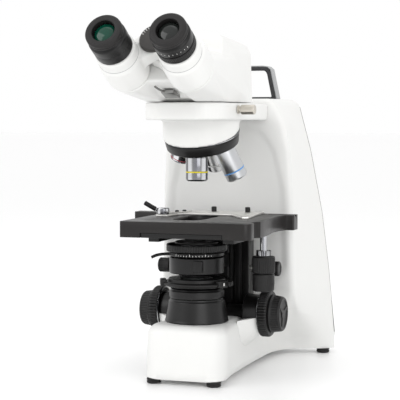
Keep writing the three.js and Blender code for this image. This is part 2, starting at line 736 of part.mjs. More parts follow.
// Toothed bar in the slot at the back of the carriage.
function rackBar() {
  const z0 = CARRIAGE_BOTTOM + 2;
  const z1 = CARRIAGE_TOP - 10;
  const pitch = 5;
  const outline = [[CARRIAGE_BACK_Y - 4.6, z0]];
  const teeth = Math.floor((z1 - z0) / pitch);
  for (let i = 0; i < teeth; i += 1) {
    const z = z0 + i * pitch;
    outline.push([CARRIAGE_BACK_Y - 2, z], [CARRIAGE_BACK_Y - 0.4, z + 1.2]);
    outline.push([CARRIAGE_BACK_Y - 0.4, z + 2.4], [CARRIAGE_BACK_Y - 2, z + 3.6]);
  }
  outline.push([CARRIAGE_BACK_Y - 2, z1], [CARRIAGE_BACK_Y - 4.6, z1]);
  const bar = slab(polygon(outline), -3.6, 3.6);
  // the outline is drawn in Y and Z and pulled along X
  bar.applyMatrix4(new THREE.Matrix4().set(0, 0, 1, 0, 1, 0, 0, 0, 0, 1, 0, 0, 0, 0, 0, 1));
  return closed(bar);
}

// ---------------------------------------------------------------- stage
function stagePlan() {
  const s = new THREE.Shape();
  const rear = BAR_Y + BAR_DEPTH;
  s.moveTo(STAGE_LEFT + 1.5, STAGE_FRONT);
  s.lineTo(STAGE_RIGHT - 8, STAGE_FRONT);
  s.absarc(STAGE_RIGHT - 8, STAGE_FRONT + 8, 8, -Math.PI / 2, 0, false);
  s.lineTo(STAGE_RIGHT, STAGE_FRONT + 15);
  s.quadraticCurveTo(STAGE_RIGHT - 6, STAGE_FRONT + 19, STAGE_RIGHT - 6, STAGE_FRONT + 26);
  s.quadraticCurveTo(STAGE_RIGHT - 6, STAGE_FRONT + 35, STAGE_RIGHT, STAGE_FRONT + 38);
  s.lineTo(STAGE_RIGHT, -20);
  s.lineTo(STAGE_RIGHT - 6, 32);
  s.quadraticCurveTo(STAGE_RIGHT - 7, BAR_Y - 6, STAGE_RIGHT - 1, BAR_Y);
  s.lineTo(BAR_RIGHT - 2, BAR_Y);
  s.quadraticCurveTo(BAR_RIGHT, BAR_Y, BAR_RIGHT, BAR_Y + 2);
  s.lineTo(BAR_RIGHT, rear);
  s.lineTo(BAR_LEFT, rear);
  s.lineTo(BAR_LEFT, BAR_Y);
  s.lineTo(STAGE_LEFT - 4, BAR_Y);
  s.quadraticCurveTo(STAGE_LEFT, BAR_Y, STAGE_LEFT, BAR_Y - 4);
  s.lineTo(STAGE_LEFT, STAGE_FRONT + 1.5);
  s.quadraticCurveTo(STAGE_LEFT, STAGE_FRONT, STAGE_LEFT + 1.5, STAGE_FRONT);
  return s;
}

function buildStage() {
  const g = new THREE.Group();
  const bottom = STAGE_TOP - STAGE_T;
  const plate = slab(stagePlan(), bottom, STAGE_TOP, 0, 5);
  const hole = slab(roundedRect(-APERTURE_HALF, APERTURE_HALF, APERTURE_FRONT, APERTURE_REAR, APERTURE_HALF - 1),
    bottom - OVER, STAGE_TOP + OVER, 0, 6);
  const pocketTop = bottom + RAILPLATE_T + GAP;
  const pocket = box(RAILPLATE_LEFT - GAP, RAILPLATE_RIGHT + GAP, STAGE_FRONT - OVER,
    RAILPLATE_REAR + STAGE_TRAVEL_FRONT + 1, bottom - OVER, pocketTop);
  const groove = box(BAR_LEFT - OVER, BAR_RIGHT + OVER, BAR_Y + 5.7, BAR_Y + 10.3, STAGE_TOP - 2, STAGE_TOP + OVER);
  const postHole = disc(DRIVE_POST_R + GAP, bottom - OVER, bottom + 5, 20).translate(DRIVE_X, DRIVE_Y, 0);
  g.add(piece('stage_plate', 'stage', cut(plate, hole, pocket, groove, postHole)));
  const railPlate = slab(roundedRect(RAILPLATE_LEFT, RAILPLATE_RIGHT, STAGE_FRONT + 0.8, RAILPLATE_REAR, 1.5),
    bottom, bottom + RAILPLATE_T, 0, 3);
  const lightHole = disc(FORK_BORE + 1, bottom - OVER, pocketTop + OVER, 26);
  g.add(piece('stage_rail_plate', 'black', cut(railPlate, lightHole)));
  g.add(piece('specimen_holder', 'steel', buildHolder()));
  return g;
}

function buildHolder() {
  const z0 = STAGE_TOP + GAP;
  const z1 = z0 + HOLDER_T;
  const barMid = BAR_Y + 8;
  const plan = polygon([
    [CLAMP_X - 6, CLAMP_Y - 6], [CLAMP_X + 7, CLAMP_Y - 6], [CLAMP_X + 8, 25], [CLAMP_X + 13, 31], [29, 31],
    [44, 5], [54, -10], [60, -7], [55, 40], [51, BAR_Y + 14], [CLAMP_X + 8, BAR_Y + 14], [CLAMP_X - 3, 40],
    [CLAMP_X - 6, 12],
  ]);
  const plate = slab(plan, z0, z1);
  const rib = box(CLAMP_X + 12, 46, barMid - 2, barMid + 2, STAGE_TOP - 1.6, z0 + 1);
  const pegs = [-3.6, 36].map((x) => disc(PEG_R, z0, z1 + PEG_H, 16).translate(x, 69, 0));
  return join(plate, rib, ...pegs);
}

function buildClamp() {
  const g = new THREE.Group();
  const z0 = STAGE_TOP + 2 * GAP + HOLDER_T;
  const boss = disc(CLAMP_R, z0, z0 + 4.2, 20).translate(CLAMP_X, CLAMP_Y, 0);
  const finger = slab(polygon([
    [CLAMP_X - 3, CLAMP_Y + 2], [CLAMP_X + 4, CLAMP_Y + 2], [CLAMP_X + 12, 40], [CLAMP_X + 16, 52],
    [CLAMP_X + 9, 46], [CLAMP_X + 3, 34],
  ]), z0, z0 + 1.6);
  g.add(piece('clamp_arm', 'steel', join(boss, finger)));
  const grip = rod(2.1, [CLAMP_X - 7, CLAMP_Y - 7, z0 + 2.4], [CLAMP_X - 22, CLAMP_Y - 12, z0 + 7.4], 14);
  g.add(piece('clamp_handle', 'black', grip));
  return g;
}

function buildStageDrive() {
  const g = new THREE.Group();
  g.position.set(DRIVE_X, DRIVE_Y, 0);
  const top = STAGE_TOP - STAGE_T + 5 - GAP;
  const collarTop = 139.8;
  const collarBottom = Y_KNOB_Z[1] + GAP;
  g.add(piece('drive_post', 'chrome', turned([
    [0, X_KNOB_Z[0] + 2], [DRIVE_CORE_R, X_KNOB_Z[0] + 2], [DRIVE_CORE_R, collarBottom], [7.9, collarBottom],
    [7.9, collarTop], [DRIVE_POST_R, collarTop], [DRIVE_POST_R, top], [0, top],
  ], 20)));
  const bore = DRIVE_CORE_R + GAP;
  const upper = slab(flutedShape(Y_KNOB_R, 0.5, 20), ...Y_KNOB_Z, 1);
  g.add(piece('y_drive_knob', 'black', cut(upper, disc(bore, 80, 160, 20))));
  const lower = turned([
    [bore, X_KNOB_Z[0]], [X_KNOB_R - 1.6, X_KNOB_Z[0]], [X_KNOB_R - 0.6, X_KNOB_Z[0] + 1.2],
    [X_KNOB_R, X_KNOB_Z[1] - 1.5], [X_KNOB_R - 1, X_KNOB_Z[1]], [bore, X_KNOB_Z[1]], [bore, X_KNOB_Z[0]],
  ], 26);
  g.add(piece('x_drive_knob', 'black', lower));
  return g;
}

// ---------------------------------------------------------------- condenser
function buildCondenser() {
  const g = new THREE.Group();
  const holder = ring(FORK_BORE, FORK_R, ...FORK_Z, 26);
  const arm = box(-16, 16, FORK_BORE + 2, CARRIAGE_FRONT_Y - GAP, FORK_Z[0] + 1, FORK_Z[1] - 1);
  const slide = box(-16, 16, CARRIAGE_FRONT_Y - 5, CARRIAGE_FRONT_Y - GAP, FORK_Z[0] - 12, FORK_Z[1] + 8);
  const clearance = disc(FORK_BORE, FORK_Z[0] - OVER, FORK_Z[1] + OVER, 26);
  g.add(piece('condenser_fork', 'black', cut(join(holder, arm, slide), clearance)));
  const inner = FORK_BORE - GAP;
  const irisCore = IRIS_BORE - GAP;
  g.add(piece('condenser_body', 'black', turned([
    [FILTER_GLASS_R - 2, FORK_Z[0] - 0.2], [inner, FORK_Z[0] - 0.2], [inner, FORK_Z[1]], [irisCore, FORK_Z[1]],
    [irisCore, KNURL_Z[0]], [KNURL_R - 1, KNURL_Z[0]], [KNURL_R, KNURL_Z[0] + 1], [KNURL_R, KNURL_Z[1] - 1],
    [KNURL_R - 1, KNURL_Z[1]], [CONDENSER_TOP_R, KNURL_Z[1]], [CONDENSER_TOP_R, CONDENSER_TOP],
    [FRONT_LENS_R + 2, 156], [FRONT_LENS_R, 158], [FRONT_LENS_R, FRONT_LENS_TOP - 0.5],
    [FRONT_LENS_R - 2, FRONT_LENS_TOP - 0.5], [FRONT_LENS_R - 2, 150], [FILTER_GLASS_R - 2, 142],
    [FILTER_GLASS_R - 2, FORK_Z[0] - 0.2],
  ], 26)));
  const lensR = FRONT_LENS_R - 2 - GAP;
  g.add(piece('condenser_lens', 'glass', turned([
    [0, FRONT_LENS_TOP - 7], [lensR, FRONT_LENS_TOP - 6], [lensR, FRONT_LENS_TOP], [0, FRONT_LENS_TOP],
  ], 20)));
  const iris = ring(IRIS_BORE, IRIS_R, ...IRIS_Z, 26);
  const mid = (IRIS_Z[0] + IRIS_Z[1]) / 2;
  const lever = rod(1.5, [-27, -11, mid], [-45, -20, mid - 4], 10);
  g.add(piece('iris_ring', 'black', join(iris, lever)));
  g.add(buildFilter());
  return g;
}

function buildFilter() {
  const [z0, z1] = FILTER_Z;
  const glassBore = FILTER_GLASS_R + GAP;
  const tray = turned([
    [glassBore - 2, z0], [FILTER_R - 2, z0], [FILTER_R, z0 + 2], [FILTER_R, z0 + 6], [FILTER_R - 3, z0 + 7.5],
    [FILTER_R - 3, z0 + 9], [glassBore, z0 + 9], [glassBore, z0 + 4], [glassBore - 2, z0 + 4],
    [glassBore - 2, z0],
  ], 26);
  const pin = disc(3.5, z0 + 5, z1 - GAP, 18).translate(FILTER_PIN.x, FILTER_PIN.y, 0);
  const tab = box(FILTER_R - 4, FILTER_R + 4, -4, 4, z0 + 2, z0 + 7);
  tab.rotateZ(THREE.MathUtils.degToRad(-10));
  return piece('filter_holder', 'black', join(tray, pin, tab));
}

function buildHeightDrive() {
  const g = new THREE.Group();
  g.position.set(0, HEIGHT_Y, HEIGHT_Z);
  g.rotation.y = Math.PI / 2;
  const start = HEIGHT_OUT - HEIGHT_KNOB_L;
  g.add(piece('height_shaft', 'steel', disc(HEIGHT_SHAFT_R, -start + GAP, start - GAP, 20)));
  for (const [side, turn] of [['right', 0], ['left', Math.PI]]) {
    const knob = piece(`height_knob_${side}`, 'black', slab(flutedShape(HEIGHT_R, 0.4, 22), start, HEIGHT_OUT, 1));
    knob.rotation.x = turn;
    g.add(knob);
  }
  return g;
}

// ---------------------------------------------------------------- nosepiece
function objectivePlace(angle) {
  const place = new THREE.Group();
  place.rotation.z = THREE.MathUtils.degToRad(angle);
  const tilt = new THREE.Group();
  tilt.position.x = SEAT_R;
  tilt.rotation.y = -TURRET_TILT;
  place.add(tilt);
  return { place, tilt };
}

function buildObjective({ length, tip, radius }) {
  const taper = Math.min(9, length * 0.3);
  return turned([
    [0, THREAD_L], [THREAD_R, THREAD_L], [THREAD_R, -GAP], [radius - 1.2, -GAP], [radius, -1.5],
    [radius, -length + taper + 1.2], [radius - 1, -length + taper], [tip + 1.5, -length + 1.2],
    [tip + 1.5, -length], [tip - 1, -length], [tip - 1, -length + 0.8], [0, -length + 0.8],
  ], 26);
}

function buildNosepiece() {
  const g = new THREE.Group();
  g.position.set(0, TURRET_Y, TURRET_Z);
  g.rotation.x = TURRET_TILT;
  const boreR = THREAD_R + GAP;
  const bores = OBJECTIVES.map(({ angle }) => {
    const { place } = objectivePlace(angle);
    place.updateMatrixWorld(true);
    const bore = turned([
      [0, -SEAT_POCKET], [OBJECTIVE_R + GAP, -SEAT_POCKET], [OBJECTIVE_R + GAP, 0], [boreR, 0],
      [boreR, THREAD_L + GAP], [0, THREAD_L + GAP],
    ], 26);
    return closed(bore.applyMatrix4(place.children[0].matrixWorld));
  });
  const turret = turned([
    [0, -SEAT_R * Math.tan(TURRET_TILT)], [SEAT_R, 0], [TURRET_R - 2, 0], [TURRET_R, 2], [TURRET_R, TURRET_T - 1],
    [TURRET_R - 1, TURRET_T], [0, TURRET_T],
  ], 32);
  g.add(piece('turret', 'black', cut(turret, ...bores)));
  const seatLow = TURRET_T + GAP;
  g.add(piece('nosepiece_seat', 'chrome', ring(12, TURRET_R + 0.6, seatLow, seatLow + SEAT_RING_T, 30)));
  for (const objective of OBJECTIVES) {
    const { place, tilt } = objectivePlace(objective.angle);
    tilt.add(piece(objective.name, 'chrome', buildObjective(objective)));
    g.add(place);
  }
  return g;
}

// ---------------------------------------------------------------- binocular tube
// Frame of the tube: x to the user's right, y up across the hub axis, z along it into the body.
function tubeGroup() {
  const g = new THREE.Group();
  const into = new THREE.Vector3(0, Math.cos(TUBE_TILT), -Math.sin(TUBE_TILT));
  const up = new THREE.Vector3(0, Math.sin(TUBE_TILT), Math.cos(TUBE_TILT));
  // with x to the left the frame stays right handed
  g.matrix.makeBasis(new THREE.Vector3(-1, 0, 0), up, into);
  g.matrix.setPosition(0, HUB_Y, HUB_Z);
  g.matrix.decompose(g.position, g.quaternion, g.scale);
  return g;
}

// One prism arm; sign +1 is the user's left, as the tube frame has x to the left.
function buildPrismArm(sign, z0, z1) {
  const lobe = [];
  for (const z of [-1, ARM_LENGTH]) {
    circlePoints(sign * EYE_HALF, -EYE_DROP, LOBE_R, 32).forEach(([x, y]) => lobe.push([x, y, z]));
    circlePoints(sign * LOBE_OUT.x, -LOBE_OUT.y, LOBE_OUT_R, 20).forEach(([x, y]) => lobe.push([x, y, z]));
  }
  const hub = disc(NECK_HALF, z0, z1, 26);
  const reach = Math.hypot(EYE_HALF, EYE_DROP);
  const neck = box(0, reach, -NECK_HALF, NECK_HALF, z0, z1);
  neck.rotateZ(Math.atan2(-EYE_DROP, sign * EYE_HALF));
  const socket = disc(SOCKET_R, -1 - SOCKET_L, 2, 32).translate(sign * EYE_HALF, -EYE_DROP, 0);
  const bore = disc(EYEPIECE_TUBE_R + GAP, -1 - SOCKET_L - OVER, 12, 32).translate(sign * EYE_HALF, -EYE_DROP, 0);
  return cut(join(hull(lobe), hub, neck, socket), bore);
}

function buildEyepiece(g, side, sign) {
  const seat = -1 - SOCKET_L - GAP;
  const front = seat - EYEPIECE_L;
  const at = (mesh) => {
    mesh.position.set(sign * EYE_HALF, -EYE_DROP, 0);
    g.add(mesh);
  };
  const bore = 11.5;
  const ringIn = DIOPTRE_BORE;
  const ringZ = [seat - DIOPTRE_L - 1, seat - 1];
  at(piece(`eyepiece_${side}`, 'black', turned([
    [bore, front + 4], [bore, front + 1], [EYECUP_R - 3, front + 1], [EYECUP_R - 3, front + 4],
    [EYEPIECE_R, front + 5], [EYEPIECE_R, ringZ[0] - GAP], [ringIn - GAP, ringZ[0] - GAP],
    [ringIn - GAP, ringZ[1] + GAP], [EYEPIECE_R, ringZ[1] + GAP], [EYEPIECE_R, seat], [EYEPIECE_TUBE_R, seat],
    [EYEPIECE_TUBE_R, 8], [bore, 8], [bore, front + 4],
  ], 30)));
  const cup = front + 1 - GAP;
  at(piece(`eyecup_${side}`, 'rubber', turned([
    [EYECUP_BORE, cup], [EYECUP_BORE, cup - 2], [EYECUP_R - 3.4, cup - EYECUP_L], [EYECUP_R - 1, cup - EYECUP_L],
    [EYECUP_R, cup - EYECUP_L + 1.5], [EYECUP_R, cup - 2], [EYECUP_R - 1.5, cup], [EYECUP_BORE, cup],
  ], 30)));
}

function buildDioptreRing(sign) {
  const seat = -1 - SOCKET_L - GAP;
  const collar = ring(DIOPTRE_BORE, EYEPIECE_R + 0.2, seat - DIOPTRE_L - 1, seat - 1, 32);
  const mesh = piece('dioptre_ring', 'black', collar);
  mesh.position.set(sign * EYE_HALF, -EYE_DROP, 0);
  return mesh;
}

function tubePoint(x, y, z) {
  const point = new THREE.Vector3(x, y, z).applyQuaternion(tubeGroup().quaternion);
  return [point.x, HUB_Y + point.y, HUB_Z + point.z];
}

function buildBinocularBody() {
  const face = ARM_LENGTH + GAP;
  const rim = [[16, 13], [34, 8], [52, -6], [54, -16], [50, -24], [28, -30]];
  // the legs run down from the back of each prism arm, with a pocket for the lever between them
  const legRim = [[34, 8], [14, -31], [24, -40.5], [34, -42.5], [46, -38.5], [53.5, -29], [54, -16]];
  const legFoot = [[18, ARM_FRONT_Y + 2], [30, ARM_FRONT_Y + 5.5], [39, ARM_FRONT_Y + 14], [ARM_HALF - 0.5, ARM_FRONT_Y + 30]];
  const floor = ARM_TOP + GAP;
  const foot = [
    [ARM_HALF - 14, BODY_FRONT_Y], [ARM_HALF - 4, BODY_FRONT_Y + 4], [ARM_HALF, BODY_FRONT_Y + 14],
    [ARM_HALF, BODY_REAR_Y - 10], [ARM_HALF - 8, BODY_REAR_Y],
  ];
  const front = [];
  for (const s of [-1, 1]) {
    rim.forEach(([x, y]) => front.push(tubePoint(s * x, y, face)));
    foot.slice(0, 4).forEach(([x, y]) => front.push([s * x, y, floor]));
    front.push([s * (ARM_HALF - 2), 0, 345], [s * (ARM_HALF - 2), 30, 345]);
  }
  const block = [];
  for (const s of [-1, 1]) {
    foot.forEach(([x, y]) => block.push([s * x, y + (y < 0 ? 14 : 0), floor], [s * x, y + (y < 0 ? 16 : -6), 350]));
    block.push([s * (ARM_HALF - 5), -24, BLOCK_TOP - 3], [s * (ARM_HALF - 5), 48, BLOCK_TOP - 3]);
    block.push([s * (ARM_HALF - 12), -20, BLOCK_TOP], [s * (ARM_HALF - 12), 42, BLOCK_TOP]);
  }
  const legs = [-1, 1].map((s) => hull([
    ...legRim.map(([x, y]) => tubePoint(s * x, y, face)),
    ...legFoot.map(([x, y]) => [-s * x, y, floor]),
    [-s * 18, -30, floor], [-s * (ARM_HALF - 2), 0, 345], [-s * 18, 0, 345],
  ]));
  const lightPath = disc(11, floor - OVER, floor + 40, 24);
  return piece('binocular_body', 'white', cut(join(hull(front), hull(block), ...legs), lightPath));
}

function buildTube() {
  const g = new THREE.Group();
  g.add(buildBinocularBody());
  const tilted = tubeGroup();
  const split = HUB_DIAL_T + GAP + (ARM_LENGTH - HUB_DIAL_T) / 2;
  tilted.add(piece('prism_arm_left', 'white', buildPrismArm(1, HUB_DIAL_T + GAP, split)));
  tilted.add(piece('prism_arm_right', 'white', buildPrismArm(-1, split + GAP, ARM_LENGTH)));
  tilted.add(piece('hub_dial', 'charcoal', turned([
    [0, 0], [HUB_DIAL_R - 1, 0], [HUB_DIAL_R, 1], [HUB_DIAL_R, HUB_DIAL_T], [0, HUB_DIAL_T],
  ], 32)));
  buildEyepiece(tilted, 'left', 1);
  buildEyepiece(tilted, 'right', -1);
  tilted.add(buildDioptreRing(-1));
  g.add(tilted);
  g.add(piece('beam_lever', 'chrome', buildBeamLever()));
  return g;
}

function buildBeamLever() {
  const wedge = hull([
    [-7, -76, 304.5], [9, -76, 304.5], [-7, -76, 300.5], [9, -76, 300.5],
    [-6, -93, 309], [8, -93, 309], [-6, -93, 305.5], [8, -93, 305.5],
  ]);
  const rodOut = rod(1.1, [-3, -90, 307], [-8, -106, 310.5], 10);
  return join(wedge, rodOut);
}

// ---------------------------------------------------------------- assembly
function buildMicroscope() {
  const g = new THREE.Group();
  g.add(
    buildBase(), buildBasePlate(), buildFeet(), buildLimb(), buildArm(), buildRearCover(), buildPowerInlet(),
    buildHandle(), buildLamp(), buildSwitch(), buildBrightness(), buildClampScrew(),
    buildFocusDrive(), buildCarriage(), buildStage(), buildClamp(), buildStageDrive(),
    buildCondenser(), buildHeightDrive(), buildNosepiece(), buildTube(),
  );
  return g;
}

const microscope = buildMicroscope();
microscope.updateMatrixWorld(true);
const extent = new THREE.Box3().setFromObject(microscope, true);
microscope.position.set(-(extent.min.x + extent.max.x) / 2, -(extent.min.y + extent.max.y) / 2, -extent.min.z);

export default microscope;
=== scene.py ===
"""Looks of an upright binocular microscope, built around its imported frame.

Sizes are in millimetres from the optical axis at table height, with +X to the user's right,
+Y to the back and +Z up. Every piece is moved to the frame's metres when it is finished.
"""

import logging
import math
from dataclasses import dataclass
from enum import Enum
from typing import Optional, Sequence

import bmesh
import bpy
from mathutils import Matrix, Vector


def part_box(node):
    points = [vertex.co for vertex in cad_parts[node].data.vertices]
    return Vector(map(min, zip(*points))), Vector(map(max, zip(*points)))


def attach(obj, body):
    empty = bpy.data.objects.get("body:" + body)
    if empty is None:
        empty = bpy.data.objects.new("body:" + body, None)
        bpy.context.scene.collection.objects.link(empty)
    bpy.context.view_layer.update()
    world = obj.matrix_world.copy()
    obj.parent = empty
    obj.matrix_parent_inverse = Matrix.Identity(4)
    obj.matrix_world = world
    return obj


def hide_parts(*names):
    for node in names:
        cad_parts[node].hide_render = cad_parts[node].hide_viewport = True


logging.basicConfig(level=logging.INFO, format="%(message)s")
LOG = logging.getLogger("microscope")

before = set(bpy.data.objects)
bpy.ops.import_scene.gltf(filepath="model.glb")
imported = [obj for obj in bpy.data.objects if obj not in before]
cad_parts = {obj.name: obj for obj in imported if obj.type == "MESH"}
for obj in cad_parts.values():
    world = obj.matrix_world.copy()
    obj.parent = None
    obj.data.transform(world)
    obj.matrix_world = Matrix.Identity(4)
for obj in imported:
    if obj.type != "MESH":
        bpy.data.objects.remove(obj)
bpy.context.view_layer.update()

MM = 0.001
SPLINE_STEPS = 24
SIDES = (("right", 1), ("left", -1))
Points = Sequence[tuple[float, float]]


def optical_axis() -> Vector:
    """The point of the frame where the optical axis meets the table, in metres."""
    low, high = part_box("light_collar")
    return Vector(((low.x + high.x) / 2, (low.y + high.y) / 2, 0.0))


AXIS = optical_axis()
TO_FRAME = Matrix.Translation(AXIS) @ Matrix.Scale(MM, 4)


# ------------------------------------------------------------------ materials


def socket_group(name: str, inputs: dict[str, tuple[str, float]],
                 outputs: dict[str, str]) -> bpy.types.NodeTree:
    """Makes an empty shader node group.

    Args:
        name: Name of the group.
        inputs: Input name to its socket kind and default.
        outputs: Output name to its socket kind.

    Returns:
        The group, with its input and output nodes in place.
    """
    group = bpy.data.node_groups.new(name, "ShaderNodeTree")
    for label, (kind, default) in inputs.items():
        socket = group.interface.new_socket(label, in_out="INPUT", socket_type=kind)
        if kind == "NodeSocketFloat":
            socket.default_value = default
    for label, kind in outputs.items():
        group.interface.new_socket(label, in_out="OUTPUT", socket_type=kind)
    group.nodes.new("NodeGroupInput").name = "in"
    group.nodes.new("NodeGroupOutput").name = "out"
    return group


def noise(tree: bpy.types.NodeTree, detail: float, vector: bpy.types.NodeSocket,
          scale: bpy.types.NodeSocket) -> bpy.types.NodeSocket:
    """Adds a noise texture to a tree and returns its value socket.

    Args:
        tree: The node tree.
        detail: Octaves of the noise.
        vector: Socket that gives the place.
        scale: Socket that gives the cells per metre.

    Returns:
        The socket of the noise value.
    """
    node = tree.nodes.new("ShaderNodeTexNoise")
    node.inputs["Detail"].default_value = detail
    tree.links.new(vector, node.inputs["Vector"])
    tree.links.new(scale, node.inputs["Scale"])
    return node.outputs["Fac"]


def maths(tree: bpy.types.NodeTree, operation: str, *values: object) -> bpy.types.NodeSocket:
    """Adds one maths node whose inputs are sockets or numbers, and returns its result.

    Args:
        tree: The node tree.
        operation: Name of the operation.
        values: Sockets or numbers for its inputs, in order.

    Returns:
        The socket of the result.
    """
    node = tree.nodes.new("ShaderNodeMath")
    node.operation = operation
    for slot, value in zip(node.inputs, values):
        if isinstance(value, bpy.types.NodeSocket):
            tree.links.new(value, slot)
        else:
            slot.default_value = value
    return node.outputs[0]


def surface_grain_group() -> bpy.types.NodeTree:
    """Moulded or painted surface: fine grain, broad mottling and a light film of handling.

    Returns:
        The group, which puts out a colour, a roughness and a height.
    """
    number = "NodeSocketFloat"
    group = socket_group(
        "surface_grain",
        {"Vector": ("NodeSocketVector", 0), "Colour": ("NodeSocketColor", 0), "Roughness": (number, 0.4),
         "Grain": (number, 900), "Mottle": (number, 0.05), "Tint": (number, 0.04)},
        {"Colour": "NodeSocketColor", "Roughness": number, "Height": number},
    )
    source = group.nodes["in"].outputs
    sink = group.nodes["out"].inputs
    fine = noise(group, 2.0, source["Vector"], source["Grain"])
    broad_scale = maths(group, "MULTIPLY", source["Grain"], 0.03)
    broad = noise(group, 4.0, source["Vector"], broad_scale)
    centred = maths(group, "SUBTRACT", broad, 0.5)
    swing = maths(group, "MULTIPLY", centred, source["Mottle"])
    fine_swing = maths(group, "MULTIPLY", maths(group, "SUBTRACT", fine, 0.5), source["Mottle"])
    rough = maths(group, "ADD", source["Roughness"], maths(group, "ADD", swing, fine_swing))
    group.links.new(rough, sink["Roughness"])
    group.links.new(maths(group, "ADD", fine, maths(group, "MULTIPLY", broad, 0.4)), sink["Height"])
    level = maths(group, "ADD", 1.0, maths(group, "MULTIPLY", centred, source["Tint"]))
    shade = group.nodes.new("ShaderNodeVectorMath")
    shade.operation = "SCALE"
    group.links.new(source["Colour"], shade.inputs[0])
    group.links.new(level, shade.inputs["Scale"])
    group.links.new(shade.outputs[0], sink["Colour"])
    return group


def machining_group() -> bpy.types.NodeTree:
    """Turned or brushed metal: fine lines round the piece and faint stains.

    Returns:
        The group, which puts out a roughness, a height and a stain mask.
    """
    number = "NodeSocketFloat"
    group = socket_group(
        "machining_lines",
        {"Vector": ("NodeSocketVector", 0), "Roughness": (number, 0.25), "Lines": (number, 2500),
         "Swing": (number, 0.12)},
        {"Roughness": number, "Height": number, "Stain": number},
    )
    source = group.nodes["in"].outputs
    sink = group.nodes["out"].inputs
    squeeze = group.nodes.new("ShaderNodeMapping")
    squeeze.inputs["Scale"].default_value = (0.03, 0.03, 1.0)
    group.links.new(source["Vector"], squeeze.inputs["Vector"])
    lines = noise(group, 3.0, squeeze.outputs[0], source["Lines"])
    stain = noise(group, 3.0, source["Vector"], maths(group, "MULTIPLY", source["Lines"], 0.02))
    swing = maths(group, "MULTIPLY", maths(group, "SUBTRACT", lines, 0.5), source["Swing"])
    group.links.new(maths(group, "ADD", source["Roughness"], swing), sink["Roughness"])
    group.links.new(lines, sink["Height"])
    group.links.new(stain, sink["Stain"])
    return group


class Texture(Enum):
    """What the fine surface of a finish is like."""

    GRAIN = "grain"
    MACHINED = "machined"


@dataclass(frozen=True)
class Finish:
    """One surface finish of the microscope.

    The colour is linear, grain is in cells per metre and relief is the bump height in millimetres.
    """

    name: str
    slot: str
    colour: tuple[float, float, float]
    roughness: float
    metallic: float = 0.0
    coat: float = 0.0
    specular: float = 0.35
    # when set, the base colour carries a painted studio reflection in bands
    painted_studio_reflection: bool = False
    texture: Texture = Texture.GRAIN
    grain: float = 900.0
    relief: float = 0.02
    mottle: float = 0.08
    tint: float = 0.06

    def material(self) -> bpy.types.Material:
        """Returns this finish's material, made the first time it is asked for."""
        return bpy.data.materials.get(self.name) or self._make()

    def _make(self) -> bpy.types.Material:
        """Makes the material.

        Returns:
            The new material, with its fine surface wired in.
        """
        made = bpy.data.materials.new(self.name)
        made.use_nodes = True
        tree = made.node_tree
        shader = tree.nodes["Principled BSDF"]
        shader.inputs["Metallic"].default_value = self.metallic
        shader.inputs["Coat Weight"].default_value = self.coat
        shader.inputs["Coat Roughness"].default_value = 0.12
        shader.inputs["Base Color"].default_value = (*self.colour, 1.0)
        shader.inputs["Specular IOR Level"].default_value = self.specular
        self._dress(tree, shader)
        return made

    def _paint_studio_reflection(self, tree: bpy.types.NodeTree, shade: bpy.types.NodeSocket) -> bpy.types.NodeSocket:
        """Paints a studio reflection into a mirror-like wall as darker and lighter bands by facing angle, and
        returns the colour.

        Args:
            tree: The material's node tree.
            shade: Socket of the plain colour.

        Returns:
            The socket of the banded colour.
        """
        facing = tree.nodes.new("ShaderNodeLayerWeight")
        facing.inputs["Blend"].default_value = 0.5
        ramp = tree.nodes.new("ShaderNodeValToRGB")
        stops = ramp.color_ramp.elements
        stops[0].position, stops[0].color = 0.0, (0.32, 0.32, 0.34, 1.0)
        stops[1].position, stops[1].color = 1.0, (0.5, 0.5, 0.52, 1.0)
        for place, value in ((0.07, 0.35), (0.14, 0.95), (0.34, 1.0), (0.42, 0.3), (0.6, 0.16), (0.72, 0.6)):
            stop = stops.new(place)
            stop.color = (value, value, value, 1.0)
        product = tree.nodes.new("ShaderNodeMix")
        product.data_type = "RGBA"
        product.blend_type = "MULTIPLY"
        product.inputs["Factor"].default_value = 1.0
        tree.links.new(facing.outputs["Facing"], ramp.inputs["Fac"])
        tree.links.new(shade, product.inputs["A"])
        tree.links.new(ramp.outputs["Color"], product.inputs["B"])
        return product.outputs["Result"]

    def _dress(self, tree: bpy.types.NodeTree, shader: bpy.types.Node) -> None:
        """Wires the fine surface into the shader.

        Args:
            tree: The material's node tree.
            shader: Its shader node.
        """
        place = tree.nodes.new("ShaderNodeTexCoord").outputs["Object"]
        lined = self.texture is Texture.MACHINED
        group = tree.nodes.new("ShaderNodeGroup")
        group.node_tree = bpy.data.node_groups["machining_lines" if lined else "surface_grain"]
        group.inputs["Roughness"].default_value = self.roughness
        tree.links.new(place, group.inputs["Vector"])
        if lined:
            group.inputs["Lines"].default_value = self.grain
            group.inputs["Swing"].default_value = self.mottle
            darker = tuple(c * (1.0 - self.tint) for c in self.colour)
            blend = tree.nodes.new("ShaderNodeMix")
            blend.data_type = "RGBA"
            blend.inputs["A"].default_value = (*self.colour, 1.0)
            blend.inputs["B"].default_value = (*darker, 1.0)
            tree.links.new(group.outputs["Stain"], blend.inputs["Factor"])
            shade = blend.outputs["Result"]
            # painted reflection: the studio's dark and bright sides multiplied into the colour as bands
            if self.painted_studio_reflection:
                shade = self._paint_studio_reflection(tree, shade)
            tree.links.new(shade, shader.inputs["Base Color"])
        else:
            group.inputs["Grain"].default_value = self.grain
            group.inputs["Mottle"].default_value = self.mottle
            group.inputs["Tint"].default_value = self.tint
            group.inputs["Colour"].default_value = (*self.colour, 1.0)
            tree.links.new(group.outputs["Colour"], shader.inputs["Base Color"])
        tree.links.new(group.outputs["Roughness"], shader.inputs["Roughness"])
        bump = tree.nodes.new("ShaderNodeBump")
        bump.inputs["Distance"].default_value = self.relief * MM
        bump.inputs["Strength"].default_value = 0.6
        tree.links.new(group.outputs["Height"], bump.inputs["Height"])
        tree.links.new(bump.outputs["Normal"], shader.inputs["Normal"])


